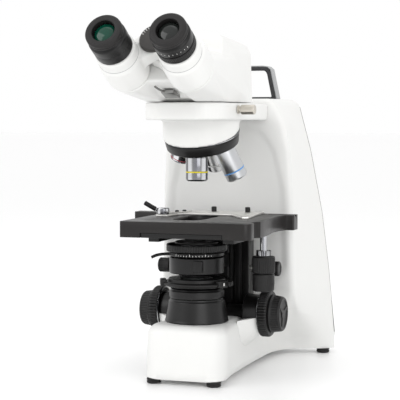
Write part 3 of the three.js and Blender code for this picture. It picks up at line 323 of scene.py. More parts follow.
WHITE = Finish("white_enamel", "white_paint", (0.78, 0.78, 0.765), 0.4, coat=0.1, grain=1400, relief=0.012,
               mottle=0.10, tint=0.03)
BLACK_PAINT = Finish("black_satin_paint", "black_paint", (0.0045, 0.0043, 0.0044), 0.34, grain=1800,
                     relief=0.015, mottle=0.16, tint=0.5)
BLACK_PLASTIC = Finish("black_moulded_grip", "black_plastic", (0.0055, 0.0052, 0.0052), 0.46, grain=2600,
                       relief=0.03, mottle=0.14, tint=0.4)
CHARCOAL = Finish("charcoal_moulding", "charcoal", (0.022, 0.022, 0.024), 0.5, grain=2200, relief=0.03,
                  mottle=0.14, tint=0.3)
DIAL = Finish("dial_grey", "charcoal", (0.045, 0.042, 0.040), 0.42, grain=2200, relief=0.02, mottle=0.12,
              tint=0.3)
BAND = Finish("silver_band", "charcoal", (0.36, 0.365, 0.37), 0.38, grain=1800, relief=0.01, mottle=0.08,
              tint=0.1)
STAGE_COAT = Finish("stage_hard_coat", "stage_coat", (0.0095, 0.008, 0.0075), 0.36, grain=3200,
                    relief=0.012, mottle=0.16, tint=0.5)
RUBBER = Finish("eyecup_rubber", "rubber", (0.011, 0.010, 0.010), 0.55, grain=3000, relief=0.05, mottle=0.16,
                tint=0.4)
# turned chrome gets a painted studio reflection in bands in its base colour
CHROME = Finish("turned_chrome", "chrome", (0.72, 0.73, 0.75), 0.13, metallic=1.0, texture=Texture.MACHINED,
                grain=5000, relief=0.004, mottle=0.10, tint=0.12, painted_studio_reflection=True)
SATIN_CHROME = Finish("satin_chrome", "chrome", (0.60, 0.61, 0.625), 0.3, metallic=1.0,
                      texture=Texture.MACHINED, grain=5000, relief=0.006, mottle=0.10, tint=0.12)
STEEL = Finish("brushed_steel", "steel", (0.86, 0.85, 0.82), 0.34, metallic=1.0, texture=Texture.MACHINED,
               grain=4200, relief=0.006, mottle=0.16, tint=0.16)
GUNMETAL = Finish("dark_steel", "steel", (0.30, 0.30, 0.29), 0.34, metallic=1.0, texture=Texture.MACHINED,
                  grain=4200, relief=0.006, mottle=0.16, tint=0.3)
NICKEL = Finish("warm_nickel", "nickel", (0.66, 0.62, 0.55), 0.3, metallic=1.0, texture=Texture.MACHINED,
                grain=4200, relief=0.01, mottle=0.16, tint=0.2)
BRASS = Finish("rack_brass", "brass", (0.62, 0.44, 0.18), 0.34, metallic=1.0, texture=Texture.MACHINED,
               grain=4000, relief=0.01, mottle=0.14, tint=0.25)
ALUMINIUM = Finish("cast_aluminium", "aluminium", (0.52, 0.53, 0.55), 0.42, metallic=1.0,
                   texture=Texture.MACHINED, grain=3000, relief=0.02, mottle=0.16, tint=0.2)
GREEN_LENS = Finish("green_coated_lens", "glass", (0.0, 0.045, 0.026), 0.1, coat=0.15, grain=300, relief=0.0,
                    mottle=0.01, tint=0.3)
DARK_LENS = Finish("dark_coated_lens", "glass", (0.011, 0.013, 0.012), 0.1, coat=0.15, grain=300, relief=0.0,
                   mottle=0.01, tint=0.3)
FIELD_GLASS = Finish("frosted_field_glass", "glass", (0.62, 0.66, 0.66), 0.22, coat=0.6, grain=1600,
                     relief=0.004, mottle=0.06, tint=0.05)
YELLOW = Finish("yellow_band_enamel", "chrome", (0.75, 0.62, 0.03), 0.35, grain=1800, relief=0.004, tint=0.1)
BLUE = Finish("light_blue_band_enamel", "chrome", (0.12, 0.33, 0.68), 0.35, grain=1800, relief=0.004,
              tint=0.1)
RED = Finish("red_band_enamel", "chrome", (0.55, 0.05, 0.08), 0.35, grain=1800, relief=0.004, tint=0.1)
MARK_WHITE = Finish("engraved_white_fill", "black_paint", (0.78, 0.78, 0.76), 0.5, grain=2400, relief=0.004,
                    tint=0.08)
SEAM = Finish("shadow_gap", "charcoal", (0.03, 0.03, 0.03), 0.7, grain=2400, relief=0.01, tint=0.2)


# ------------------------------------------------------------------ modelling


def soften(profile: Points, radius: float, steps: int = 3) -> list[tuple[float, float]]:
    """Rounds every corner of a profile.

    Args:
        profile: Corners as (x, y) pairs.
        radius: Largest distance from a corner at which its rounding starts.
        steps: Points in each rounding beside its two ends.

    Returns:
        The profile with its corners rounded and its two ends kept.
    """
    rounded = [profile[0]]
    for before, corner, after in zip(profile, profile[1:], profile[2:]):
        c = Vector(corner)
        into, out = Vector(before) - c, Vector(after) - c
        cut = min(radius, into.length * 0.45, out.length * 0.45)
        a, b = c + into.normalized() * cut, c + out.normalized() * cut
        for i in range(steps + 2):
            t = i / (steps + 1)
            p = a * (1 - t) ** 2 + c * 2 * t * (1 - t) + b * t * t
            rounded.append((p.x, p.y))
    rounded.append(profile[-1])
    return rounded


def turned(profile: Points, radius: float = 0.6, steps: int = 96) -> bmesh.types.BMesh:
    """Spins a profile of (radius, height) pairs about Z, with its corners softened.

    Args:
        profile: The pairs, from one end of the wall to the other.
        radius: Largest softening of a corner.
        steps: Sides of the turned piece.

    Returns:
        The turned mesh.
    """
    bm = bmesh.new()
    line = soften(profile, radius)
    verts = [bm.verts.new((r, 0.0, z)) for r, z in line]
    edges = [bm.edges.new(pair) for pair in zip(verts, verts[1:])]
    bmesh.ops.spin(bm, geom=verts + edges, cent=(0, 0, 0), axis=(0, 0, 1), angle=math.tau, steps=steps,
                   use_merge=True, use_duplicate=False)
    return tidy(bm)


def tidy(bm: bmesh.types.BMesh) -> bmesh.types.BMesh:
    """Joins doubled points and turns every face outwards.

    Args:
        bm: The mesh.

    Returns:
        The same mesh.
    """
    bmesh.ops.remove_doubles(bm, verts=bm.verts, dist=1e-4)
    bmesh.ops.dissolve_degenerate(bm, dist=1e-5, edges=bm.edges)
    bmesh.ops.recalc_face_normals(bm, faces=bm.faces)
    return bm


def flute(bm: bmesh.types.BMesh, count: int, depth: float, low: float, high: float,
          inner: float) -> bmesh.types.BMesh:
    """Presses grip flutes into the outer wall of a turned piece between two heights.

    Args:
        bm: The turned mesh.
        count: Flutes round it.
        depth: Depth of a flute.
        low: Height where the flutes begin.
        high: Height where they end.
        inner: Radius inside which nothing is pressed.

    Returns:
        The same mesh.
    """
    for v in bm.verts:
        r = math.hypot(v.co.x, v.co.y)
        if r > inner and low <= v.co.z <= high:
            wave = 0.5 - 0.5 * math.cos(count * math.atan2(v.co.y, v.co.x))
            scale = 1.0 - depth * wave ** 2 / r
            v.co.x *= scale
            v.co.y *= scale
    return bm


def bevel(bm: bmesh.types.BMesh, edges: Sequence[bmesh.types.BMEdge], rounding: float,
          segments: int = 2) -> None:
    """Rounds some edges of a mesh."""
    bmesh.ops.bevel(bm, geom=edges, offset=rounding, offset_type="OFFSET", segments=segments, profile=0.5,
                    affect="EDGES", clamp_overlap=True, material=-1)


def block(low: Sequence[float], high: Sequence[float], rounding: float,
          segments: int = 3) -> bmesh.types.BMesh:
    """A box between two corners with all its edges rounded.

    Args:
        low: The lowest corner.
        high: The highest corner.
        rounding: Width of the rounding.
        segments: Steps in the rounding.

    Returns:
        The box.
    """
    bm = bmesh.new()
    size = [b - a for a, b in zip(low, high)]
    middle = [(a + b) / 2 for a, b in zip(low, high)]
    bmesh.ops.create_cube(bm, size=1.0, matrix=Matrix.Translation(middle) @ Matrix.Diagonal((*size, 1.0)))
    bevel(bm, list(bm.edges), rounding, segments)
    return bm


def skin(loops: Sequence[Sequence[Vector]]) -> bmesh.types.BMesh:
    """Skins loops that have the same number of points, by pulling one ring from level to level.

    Args:
        loops: The rings from first to last, each in the same turning order.

    Returns:
        The closed skin.
    """
    bm = bmesh.new()
    ring = list(bmesh.ops.create_circle(bm, cap_ends=False, segments=len(loops[0]), radius=1.0)["verts"])
    first = ring
    for v, p in zip(ring, loops[0]):
        v.co = p
    for loop in loops[1:]:
        edges = [bm.edges.get((a, b)) for a, b in zip(ring, ring[1:] + ring[:1])]
        made = bmesh.ops.extrude_edge_only(bm, edges=edges)["geom"]
        fresh = {g for g in made if isinstance(g, bmesh.types.BMVert)}
        ring = [next(e.other_vert(v) for e in v.link_edges if e.other_vert(v) in fresh) for v in ring]
        for v, p in zip(ring, loop):
            v.co = p
    for end in (first, ring):
        bm.faces.new(end)
    return tidy(bm)


def swept(path: Sequence[Vector], section: Points, up: Vector) -> bmesh.types.BMesh:
    """Carries a flat section along a path; the section's second axis stays near `up`.

    Args:
        path: Points of the path.
        section: Outline of the section.
        up: The way up.

    Returns:
        The closed rod.
    """
    loops = []
    for i, p in enumerate(path):
        ahead = (path[min(i + 1, len(path) - 1)] - path[max(i - 1, 0)]).normalized()
        side = ahead.cross(up).normalized()
        rise = side.cross(ahead).normalized()
        loops.append([p + side * x + rise * y for x, y in section])
    return skin(loops)


def circle(radius: float, count: int) -> list[tuple[float, float]]:
    """Points of a circle about the origin."""
    turns = [math.tau * i / count for i in range(count)]
    return [(radius * math.cos(t), radius * math.sin(t)) for t in turns]


def rounded_box(half_x: float, half_y: float, radius: float, steps: int = 4) -> list[tuple[float, float]]:
    """Outline of a rectangle with round corners about the origin.

    Args:
        half_x: Half of its width.
        half_y: Half of its depth.
        radius: Corner radius.
        steps: Steps in each corner.

    Returns:
        The points in turning order.
    """
    points = []
    for k, (sx, sy) in enumerate(((1, 1), (-1, 1), (-1, -1), (1, -1))):
        for i in range(steps + 1):
            a = math.radians(90 * k + 90 * i / steps)
            points.append((sx * (half_x - radius) + radius * math.cos(a),
                           sy * (half_y - radius) + radius * math.sin(a)))
    return points


def smooth_line(points: Sequence[Sequence[float]], count: int) -> list[Vector]:
    """An open smooth line through control points, sampled evenly along its length.

    Args:
        points: The control points.
        count: Points wanted.

    Returns:
        The sampled line.
    """
    p = [Vector(q) for q in points]
    ends = [p[0] * 2 - p[1], *p, p[-1] * 2 - p[-2]]
    fine = []
    for a, b, c, d in zip(ends, ends[1:], ends[2:], ends[3:]):
        for i in range(SPLINE_STEPS):
            t = i / SPLINE_STEPS
            fine.append(b + (c - a) * 0.5 * t + (a * 2 - b * 5 + c * 4 - d) * 0.5 * t * t
                        + (b * 3 - a - c * 3 + d) * 0.5 * t * t * t)
    fine.append(p[-1])
    return resample(fine, count)


def resample(line: Sequence[Vector], count: int) -> list[Vector]:
    """The same line with `count` points evenly spaced along it.

    Args:
        line: Points of the line.
        count: Points wanted.

    Returns:
        The evenly spaced points.
    """
    far = [0.0]
    for a, b in zip(line, line[1:]):
        far.append(far[-1] + (b - a).length)
    out, k = [], 0
    for i in range(count):
        want = far[-1] * i / (count - 1)
        while k + 2 < len(far) and far[k + 1] < want:
            k += 1
        span = far[k + 1] - far[k] or 1.0
        out.append(line[k].lerp(line[k + 1], min((want - far[k]) / span, 1.0)))
    return out


def along(rows: Points, z: float) -> float:
    """Value at z of rows of (z, value), straight between them.

    Args:
        rows: The rows, in rising order.
        z: The height asked for.

    Returns:
        The value there.
    """
    if z <= rows[0][0]:
        return rows[0][1]
    for (a, va), (b, vb) in zip(rows, rows[1:]):
        if z <= b:
            return va + (vb - va) * (z - a) / (b - a)
    return rows[-1][1]


def ease(t: float) -> float:
    """A soft step from 0 to 1."""
    k = min(max(t, 0.0), 1.0)
    return k * k * (3 - 2 * k)


def moulded(solids: Sequence[bmesh.types.BMesh], voxel: float, passes: int) -> bmesh.types.BMesh:
    """Melts solids into one casting with soft inner and outer corners.

    Args:
        solids: Closed meshes in millimetres that overlap where they join.
        voxel: Cell size of the melt, in millimetres.
        passes: Smoothing passes after it.

    Returns:
        One closed mesh, in millimetres.
    """
    mesh = bpy.data.meshes.new("melt")
    whole = bmesh.new()
    for solid in solids:
        solid.to_mesh(mesh)
        whole.from_mesh(mesh)
        solid.free()
    whole.to_mesh(mesh)
    whole.free()
    carrier = bpy.data.objects.new("melt", mesh)
    bpy.context.scene.collection.objects.link(carrier)
    melt = carrier.modifiers.new("melt", "REMESH")
    melt.mode = "VOXEL"
    melt.voxel_size = voxel
    bpy.context.view_layer.update()
    made = bpy.data.meshes.new_from_object(carrier.evaluated_get(bpy.context.evaluated_depsgraph_get()))
    bm = bmesh.new()
    bm.from_mesh(made)
    for _ in range(passes):
        bmesh.ops.smooth_vert(bm, verts=bm.verts, factor=0.5, use_axis_x=True, use_axis_y=True,
                              use_axis_z=True)
    bpy.data.objects.remove(carrier)
    bpy.data.meshes.remove(mesh)
    bpy.data.meshes.remove(made)
    bmesh.ops.recalc_face_normals(bm, faces=bm.faces)
    return bm


def hull(points: Sequence[Sequence[float]]) -> bmesh.types.BMesh:
    """The convex solid round a set of points.

    Args:
        points: The points.

    Returns:
        The closed solid.
    """
    bm = bmesh.new()
    verts = [bm.verts.new(p) for p in points]
    made = bmesh.ops.convex_hull(bm, input=verts)
    loose = {g for g in made["geom_interior"] if isinstance(g, bmesh.types.BMVert)}
    bmesh.ops.delete(bm, geom=list(loose), context="VERTS")
    return tidy(bm)


def placed(bm: bmesh.types.BMesh, matrix: Matrix) -> bmesh.types.BMesh:
    """Moves a whole mesh and returns it."""
    bmesh.ops.transform(bm, matrix=matrix, verts=bm.verts)
    return bm


def joined(*solids: bmesh.types.BMesh) -> bmesh.types.BMesh:
    """Puts several closed meshes into one, without melting them.

    Args:
        solids: The meshes; they are used up.

    Returns:
        One mesh that holds them all.
    """
    mesh = bpy.data.meshes.new("gather")
    whole = bmesh.new()
    for solid in solids:
        solid.to_mesh(mesh)
        whole.from_mesh(mesh)
        solid.free()
    bpy.data.meshes.remove(mesh)
    return whole


def refined(node: str, rounding: float, sharp: float = 30.0) -> bmesh.types.BMesh:
    """A copy of a frame node in millimetres from the optical axis, with its edges rounded.

    Args:
        node: Name of the node.
        rounding: Width of the rounding.
        sharp: Angle in degrees from which an edge is rounded.

    Returns:
        The rounded copy.
    """
    bm = bmesh.new()
    bm.from_mesh(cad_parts[node].data)
    placed(bm, TO_FRAME.inverted())
    bmesh.ops.remove_doubles(bm, verts=bm.verts, dist=1e-3)
    bmesh.ops.dissolve_limit(bm, angle_limit=math.radians(1.5), verts=bm.verts, edges=bm.edges)
    edges = [e for e in bm.edges if e.is_manifold and e.calc_face_angle(0.0) > math.radians(sharp)]
    bevel(bm, edges, rounding)
    return bm


# ------------------------------------------------------------------ pieces


def finished(name: str, bm: bmesh.types.BMesh, finish: Finish, body: str, replaces: Sequence[str] = (),
             at: Optional[Matrix] = None, crease: float = 38.0) -> bpy.types.Object:
    """Makes a finished piece from a mesh in millimetres and rides it on its body.

    Args:
        name: Name of the piece.
        bm: The mesh; it is used up.
        finish: The surface finish.
        body: The body that carries the piece.
        replaces: Frame nodes that the piece stands for.
        at: Place of the mesh, in millimetres, if it isn't already there.
        crease: Angle in degrees from which an edge is drawn sharp.

    Returns:
        The piece's object.
    """
    if at is not None:
        placed(bm, at)
        if at.determinant() < 0:
            bmesh.ops.reverse_faces(bm, faces=bm.faces)
    placed(bm, TO_FRAME)
    limit = math.radians(crease)
    for face in bm.faces:
        face.smooth = True
    for edge in bm.edges:
        edge.smooth = not edge.is_manifold or edge.calc_face_angle(0.0) < limit
    mesh = bpy.data.meshes.new(name)
    bm.to_mesh(mesh)
    LOG.info("%s: %d faces on %s", name, len(bm.faces), body)
    bm.free()
    mesh.materials.append(finish.material())
    piece = bpy.data.objects.new(name, mesh)
    bpy.context.scene.collection.objects.link(piece)
    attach(piece, body)
    if replaces:
        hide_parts(*replaces)
    return piece


def dress(finish: Finish, *nodes: str) -> None:
    """Gives frame nodes that stay on show a finish.

    Args:
        finish: The finish.
        nodes: Names of the nodes.
    """
    for node in nodes:
        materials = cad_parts[node].data.materials
        materials.clear()
        materials.append(finish.material())
        LOG.info("%s: dressed in %s", node, finish.name)


def turn_x(at: tuple[float, float, float], sign: int) -> Matrix:
    """Place of a piece turned about Z whose axis then points along +X or -X."""
    return Matrix.Translation(at) @ Matrix.Rotation(sign * math.pi / 2, 4, "Y")


@dataclass(frozen=True)
class Ticks:
    """A row of filled engraved lines round a turned wall."""

    radius: float
    low: float
    high: float
    start: float
    step: float
    count: int
    width: float = 0.5

    def mesh(self) -> bmesh.types.BMesh:
        """The lines as thin raised bars about Z.

        Returns:
            One mesh of all the bars.
        """
        bars = []
        for i in range(self.count):
            long = self.high if i % 5 == 0 else (self.high + self.low) / 2
            bar = block((self.radius - 0.4, -self.width / 2, self.low),
                        (self.radius + 0.08, self.width / 2, long), 0.05, 1)
            bars.append(placed(bar, Matrix.Rotation(math.radians(self.start + i * self.step), 4, "Z")))
        return joined(*bars)


@dataclass
class Stand:
    """Base, column, arm, rear cover, feet, handle and what is built into them."""

    foot_height: float = 5.5
    base_top: float = 62.0
    front_y: float = -52.0
    half: float = 43.6
    waist: float = 39.6
    edge: float = 10.0
    flare_end: float = 90.0
    limb_front: float = 104.0
    limb_top: float = 303.0
    recess: float = 2.4
    samples: int = 76
    front_half: Points = ((90, 81), (121, 80), (200, 78), (242, 75.5), (276, 68), (303, 54))
    rear_half: Points = ((22, 102), (104, 95), (169, 88), (242, 76), (297, 64), (303, 61))
    seam: Points = ((22, 212), (104, 207), (169, 202), (242, 194), (297, 184), (303, 182))

    def build(self) -> None:
        """Makes every piece of the stand."""
        self.base()
        self.limb()
        self.arm()
        self.rear()
        self.handle()
        self.feet()
        self.controls()

    def flank(self, z: float) -> list[tuple[float, float]]:
        """Right side of the stand behind the waist at a height, from the waist to the rear seam.

        Args:
            z: The height.

        Returns:
            Points of the side.
        """
        t = ease((z - self.foot_height) / (self.flare_end - self.foot_height))
        front, rear, seam = along(self.front_half, z), along(self.rear_half, z), along(self.seam, z)
        w, y = self.waist, self.limb_front
        low = [(w, 140), (w + 5, 166), (w + 17, 183), (rear - 18, 193), (rear - 1, 204), (rear, seam)]
        high = [(front * 0.5, y), (front - 10, y), (front - 2, y + 3), (front, y + 12), (rear - 1, seam - 12),
                (rear, seam)]
        return [(a + (c - a) * t, b + (d - b) * t) for (a, b), (c, d) in zip(low, high)]

    def base_loop(self, z: float, shrink: float) -> list[Vector]:
        """Closed outline of the base at a height; shrink pulls in the part in front of the column.

        Args:
            z: The height.
            shrink: How far the outline is pulled in.

        Returns:
            Points of the outline.
        """
        draft = (z - self.foot_height) * 0.05
        front, half = self.front_y + draft, self.half - draft * 0.15
        waist = self.waist - draft * 0.3
        side = self.flank(z)
        side[0] = (waist, side[0][1])
        side[-1] = (side[-1][0] - 0.5, side[-1][1])
        line = smooth_line(
            [(0, front), (half * 0.4, front), (half - 14, front + 0.8), (half - 5, front + 5),
             (half - 1, front + 13), (half, front + 24), (waist + 1, 5), (waist, 60), (waist, 110), *side],
            self.samples * 2)
        pulled = []
        for p in line:
            keep = 1.0 - ease((p.y - 92) / 45)
            x = p.x - min(shrink, p.x) * keep * ease(p.x / 30)
            pulled.append(Vector((x, p.y + shrink * keep * ease((self.front_y + 60 - p.y) / 60), z)))
        mirror = [Vector((-p.x, p.y, p.z)) for p in reversed(pulled[1:])]
        return [*pulled, *mirror]

    def base(self) -> None:
        """The white base with its rounded upper edge."""
        top, r = self.base_top, self.edge
        levels = [(self.foot_height, 1.0), (self.foot_height + 1.0, 0.0)]
        levels += [(z, 0.0) for z in (14, 22, 30, 38, 46)]
        for i in range(9):
            a = math.radians(90 * i / 8)
            levels.append((top - r + r * math.sin(a), r * (1 - math.cos(a))))
        loops = [self.base_loop(z, s) for z, s in levels]
        for extra in (16, 26):
            loops.append([Vector((p.x, p.y, top)) for p in self.base_loop(top, extra)])
        finished("base_shell", skin(loops), WHITE, "stand", ["base_housing"], crease=50)

    def limb_loop(self, z: float, shrink: float) -> list[Vector]:
        """Closed outline of the column at a height, with the shallow recess in its front.

        Args:
            z: The height.
            shrink: How far the outline is pulled in.

        Returns:
            Points of the outline.
        """
        side = self.flank(min(z, self.limb_top))
        front = side[0][1]
        line = smooth_line([(0, front), (side[0][0] * 0.5, front), *side], self.samples)
        flat_half = along(((90, 70), (200, 66), (242, 56), (280, 34)), z)
        out = []
        for p in line:
            centre = Vector((0, 150))
            pull = (Vector((p.x, p.y)) - centre).normalized() * shrink
            dx = abs(p.x) - flat_half
            dz = max(96 - z, z - 274)
            corner = 22
            outside = math.hypot(max(dx + corner, 0), max(dz + corner, 0)) - corner
            sunk = self.recess * ease(-outside / 9 + 0.5) * (p.y < front + 6)
            out.append(Vector((p.x - pull.x, p.y - pull.y + sunk, z)))
        mirror = [Vector((-p.x, p.y, p.z)) for p in reversed(out[1:])]
        return [*out, *mirror]

    def limb(self) -> None:
        """The tall column with its recessed front panel."""
        levels = [(self.base_top, 0.0), *((64 + 3.5 * i, 0.0) for i in range(66))]
        r = 8.0
        for i in range(8):
            a = math.radians(90 * i / 7)
            levels.append((self.limb_top - r + r * math.sin(a), r * (1 - math.cos(a))))
        levels.append((self.limb_top, 20.0))
        loops = [self.limb_loop(z, s) for z, s in levels]
        finished("column_shell", skin(loops), WHITE, "stand", ["limb_housing"], crease=50)

    def arm(self) -> None:
        """The flat arm with the round nose over the nosepiece."""
        front = [(15 + 30 * math.sin(math.radians(a)), -30.5 - 30 * math.cos(math.radians(a)))
                 for a in range(0, 91, 9)]
        deck = hull([(s * x, y, z) for s in (-1, 1) for x, y in (*front, (45, 60), (49, 103.6))
                     for z in (278.4, 296.7)])
        nose = turned([(0, 220), (41.5, 220), (41.5, 294), (0, 294)], 0.4, 128)
        placed(nose, Matrix.Translation((0, 14, 0)))
        tilt = math.radians(20.5)
        normal = Vector((0, -math.sin(tilt), math.cos(tilt)))
        point = Vector((0, 20, 251.7)) + normal * 13.8
        bmesh.ops.bisect_plane(nose, geom=[*nose.verts, *nose.edges, *nose.faces], plane_co=point,
                               plane_no=normal, clear_inner=True)
        bmesh.ops.holes_fill(nose, edges=[e for e in nose.edges if e.is_boundary])
        casting = moulded([deck, nose], 1.3, 4)
        finished("arm_casting", casting, WHITE, "stand", ["arm_housing"], crease=60)

    def rear(self) -> None:
        """Rear cover with its power inlet."""
        finished("rear_shell", refined("rear_cover", 1.6, 25), WHITE, "stand", ["rear_cover"], crease=60)
        for side, sign in SIDES:
            path = [Vector((sign * (along(self.rear_half, z) - 0.35), along(self.seam, z) + 0.15, z))
                    for z in range(24, 300, 6)]
            finished(f"rear_seam_{side}", swept(path, circle(0.55, 12), Vector((1, 0, 0))), SEAM, "stand")
        dress(BLACK_PLASTIC, "power_inlet")
        low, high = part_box("power_inlet")
        middle = TO_FRAME.inverted() @ ((low + high) / 2)
        pins = [block((middle.x + dx - 1, middle.y - 2, middle.z + dz - 2.2),
                      (middle.x + dx + 1, middle.y + 8.6, middle.z + dz + 2.2), 0.4)
                for dx, dz in ((-7, -0.8), (0, 0.8), (7, -0.8))]
        finished("inlet_pins", joined(*pins), BRASS, "stand")

    def handle(self) -> None:
        """The carrying handle and the silver band round it."""
        finished("carry_grip", refined("carry_handle", 1.3, 25), CHARCOAL, "stand", ["carry_handle"])
        low, high = (TO_FRAME.inverted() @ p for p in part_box("carry_handle"))
        foot, top, half = low.z + 0.4, high.z + 0.75, high.x + 0.75
        side = half - 6.2
        corner = [(half, foot), (side, top - 10), (side - 1.2, top - 4), (side - 5, top - 0.8),
                  (side - 10, top)]
        right = [Vector((x, (low.y + high.y) / 2 + 1.5, z)) for x, z in corner]
        left = [Vector((-p.x, p.y, p.z)) for p in reversed(right)]
        path = resample([*right, *left], 60)
        section = rounded_box(7.6, 0.75, 0.7, 2)
        rail = []
        for i, p in enumerate(path):
            ahead = (path[min(i + 1, len(path) - 1)] - path[max(i - 1, 0)]).normalized()
            out = ahead.cross(Vector((0, 1, 0))).normalized()
            rail.append([p + Vector((0, x, 0)) + out * y for x, y in section])
        finished("handle_band", skin(rail), BAND, "stand")

    def feet(self) -> None:
        """Four rubber feet."""
        for node in ("foot_front_left", "foot_front_right", "foot_rear_left", "foot_rear_right"):
            low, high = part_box(node)
            middle = TO_FRAME.inverted() @ Vector(((low.x + high.x) / 2, (low.y + high.y) / 2, 0))
            r = (high.x - low.x) / 2 / MM
            foot = turned([(0, 0), (r - 2, 0), (r - 0.4, 0.6), (r, 1.6), (r, 2.6), (r - 0.7, 2.9),
                           (r - 0.7, 3.4), (r, 3.7), (r, 5.4), (0, 5.4)], 0.3, 48)
            finished(node + "_pad", foot, RUBBER, "stand", [node], Matrix.Translation(middle))

    def controls(self) -> None:
        """Switch, brightness wheel, tube clamp, light collar, lamp and bottom plate."""
        dress(CHARCOAL, "base_plate")
        dress(ALUMINIUM, "lamp_module")
        finished("rocker_switch", refined("power_switch", 0.6), BLACK_PLASTIC, "power_rocker",
                 ["power_switch"])
        wheel = turned([(0, 0), (9, 0), (9, 9), (7, 9), (6.4, 8.4), (0, 8.4)], 0.6, 160)
        flute(wheel, 20, 0.7, 1, 8, 8)
        low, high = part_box("brightness_knob")
        place = TO_FRAME.inverted() @ Vector((high.x, (low.y + high.y) / 2, (low.z + high.z) / 2))
        finished("brightness_wheel", wheel, BLACK_PLASTIC, "brightness", ["brightness_knob"],
                 turn_x(tuple(place), -1))
        screw = turned([(0, -20), (2.4, -20), (2.4, 0.8), (4.6, 1), (4.6, 2.4), (3.4, 2.6), (3.4, 4.6),
                        (5.2, 5), (5.2, 19), (4.4, 20), (3, 19.6), (0, 19.6)], 0.35, 144)
        low, high = (TO_FRAME.inverted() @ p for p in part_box("tube_lock_screw"))
        finished("clamp_screw", flute(screw, 24, 0.35, 5.6, 18.4, 4.8), NICKEL, "tube_clamp",
                 ["tube_lock_screw"], turn_x((high.x - 20, (low.y + high.y) / 2, (low.z + high.z) / 2), 1))
        collar = turned([(15, 62.2), (34.3, 62.2), (34.4, 63.4), (33.8, 65), (31.6, 77), (30.4, 84.6),
                         (29.2, 85.6), (29, 87.5), (15, 87.5), (15, 62.2)], 0.5, 128)
        finished("field_collar", collar, BLACK_PAINT, "stand", ["light_collar"])
        ring = turned([(19.4, 88), (29.6, 88), (29.9, 90), (29.6, 95.4), (28.6, 96.6), (28, 98.3),
                       (20.6, 98.3), (19.4, 97), (19.4, 88)], 0.5, 192)
        finished("field_iris_ring", flute(ring, 64, 0.12, 91, 95, 29), BLACK_PAINT, "field_diaphragm",
                 ["field_ring"])
        dome = turned([(0, 88), (18.9, 88), (18.9, 91), (15, 93.4), (8, 95), (0, 95.4)], 0.8, 96)
        finished("field_window", dome, FIELD_GLASS, "stand", ["field_lens"])


@dataclass
class FocusDrive:
    """Coaxial coarse and fine focus knobs and the carriage they lift."""

    y: float = 55.3
    z: float = 65.6
    coarse_in: float = 57.3
    coarse_out: float = 68.7
    coarse_r: float = 25.8
    fine_out: float = 81.9

    def build(self) -> None:
        """Makes the knobs, the bearing housing and the carriage."""
        for side, sign in SIDES:
            rings = ((38.2, 32.0, 60.0), (43.0, 26.5, 61.4), (49.0, 22.8, 62.4), (55.8, 21.0, 62.8),
                     (56.9, 20.2, 62.8))
            points = [(sign * x, self.y + r * math.cos(math.radians(a)), z + r * math.sin(math.radians(a)))
                      for x, r, z in rings for a in range(180, 361, 6)]
            finished(f"bearing_saddle_{side}", hull(points), WHITE, "stand")
        hub = turned([(7.3, -57), (19.4, -57), (20, -55), (21.4, -41), (21, -40.2), (9, -40.2), (9, 40.2),
                      (21, 40.2), (21.4, 41), (20, 55), (19.4, 57), (7.3, 57), (7.3, -57)], 0.6, 96)
        finished("focus_bearing", hub, BLACK_PAINT, "stand", ["focus_housing"],
                 turn_x((0, self.y, self.z), 1))
        dress(STEEL, "coarse_shaft", "fine_shaft", "guide_rail")
        dress(BRASS, "focus_rack")
        for side, sign in SIDES:
            self.knobs(side, sign)
        self.carriage()

    def knobs(self, side: str, sign: int) -> None:
        """One coarse and one fine knob.

        Args:
            side: Name of the side.
            sign: 1 on the right and -1 on the left.
        """
        place = turn_x((0, self.y, self.z), sign)
        a, b, r = self.coarse_in, self.coarse_out, self.coarse_r
        coarse = turned([(3.4, a), (r - 2, a), (r - 0.6, a + 0.8), (r, a + 2), (r, a + 4), (r, a + 6),
                         (r, a + 8), (r - 0.2, b - 2), (r - 1.4, b - 0.4), (r - 4, b), (3.4, b), (3.4, a)],
                        0.5, 288)
        finished(f"coarse_grip_{side}", flute(coarse, 48, 1.0, a + 1.5, b - 1.6, r - 1), BLACK_PLASTIC,
                 "coarse_focus", [f"coarse_knob_{side}"], place.copy())
        rim = turned([(r - 2.4, a - 0.1), (r - 1.4, a - 0.1), (r - 0.7, a + 0.7), (r - 1.3, a + 1.3),
                      (r - 2.4, a - 0.1)], 0.1, 96)
        finished(f"coarse_rim_{side}", rim, CHROME, "coarse_focus", (), place.copy())
        c, d = b + 0.3, self.fine_out
        fine = turned([(0, c), (21, c), (21.3, c + 1.5), (20.4, c + 2.6), (20, c + 5), (19.6, c + 8),
                       (19.2, d - 2), (18, d), (15.6, d), (15, d - 1.1), (13, d - 1.3), (0, d - 1.3)],
                      0.5, 240)
        flute(fine, 40, 0.45, c + 3, d - 2.4, 17)
        spokes = [placed(block((-2.1, 3, d - 1.6), (2.1, 15.4, d - 0.35), 0.5),
                         Matrix.Rotation(math.radians(120 * k + 20), 4, "Z")) for k in range(3)]
        centre = turned([(0, d - 1.6), (5.2, d - 1.6), (5.2, d - 0.3), (0, d - 0.3)], 0.4, 48)
        finished(f"fine_grip_{side}", joined(fine, centre, *spokes), BLACK_PLASTIC, "fine_focus",
                 [f"fine_knob_{side}"], place.copy())

    def carriage(self) -> None:
        """The lifting carriage behind the stage."""
        finished("stage_carriage", refined("carriage", 0.7), BLACK_PAINT, "stage_carrier", ["carriage"])


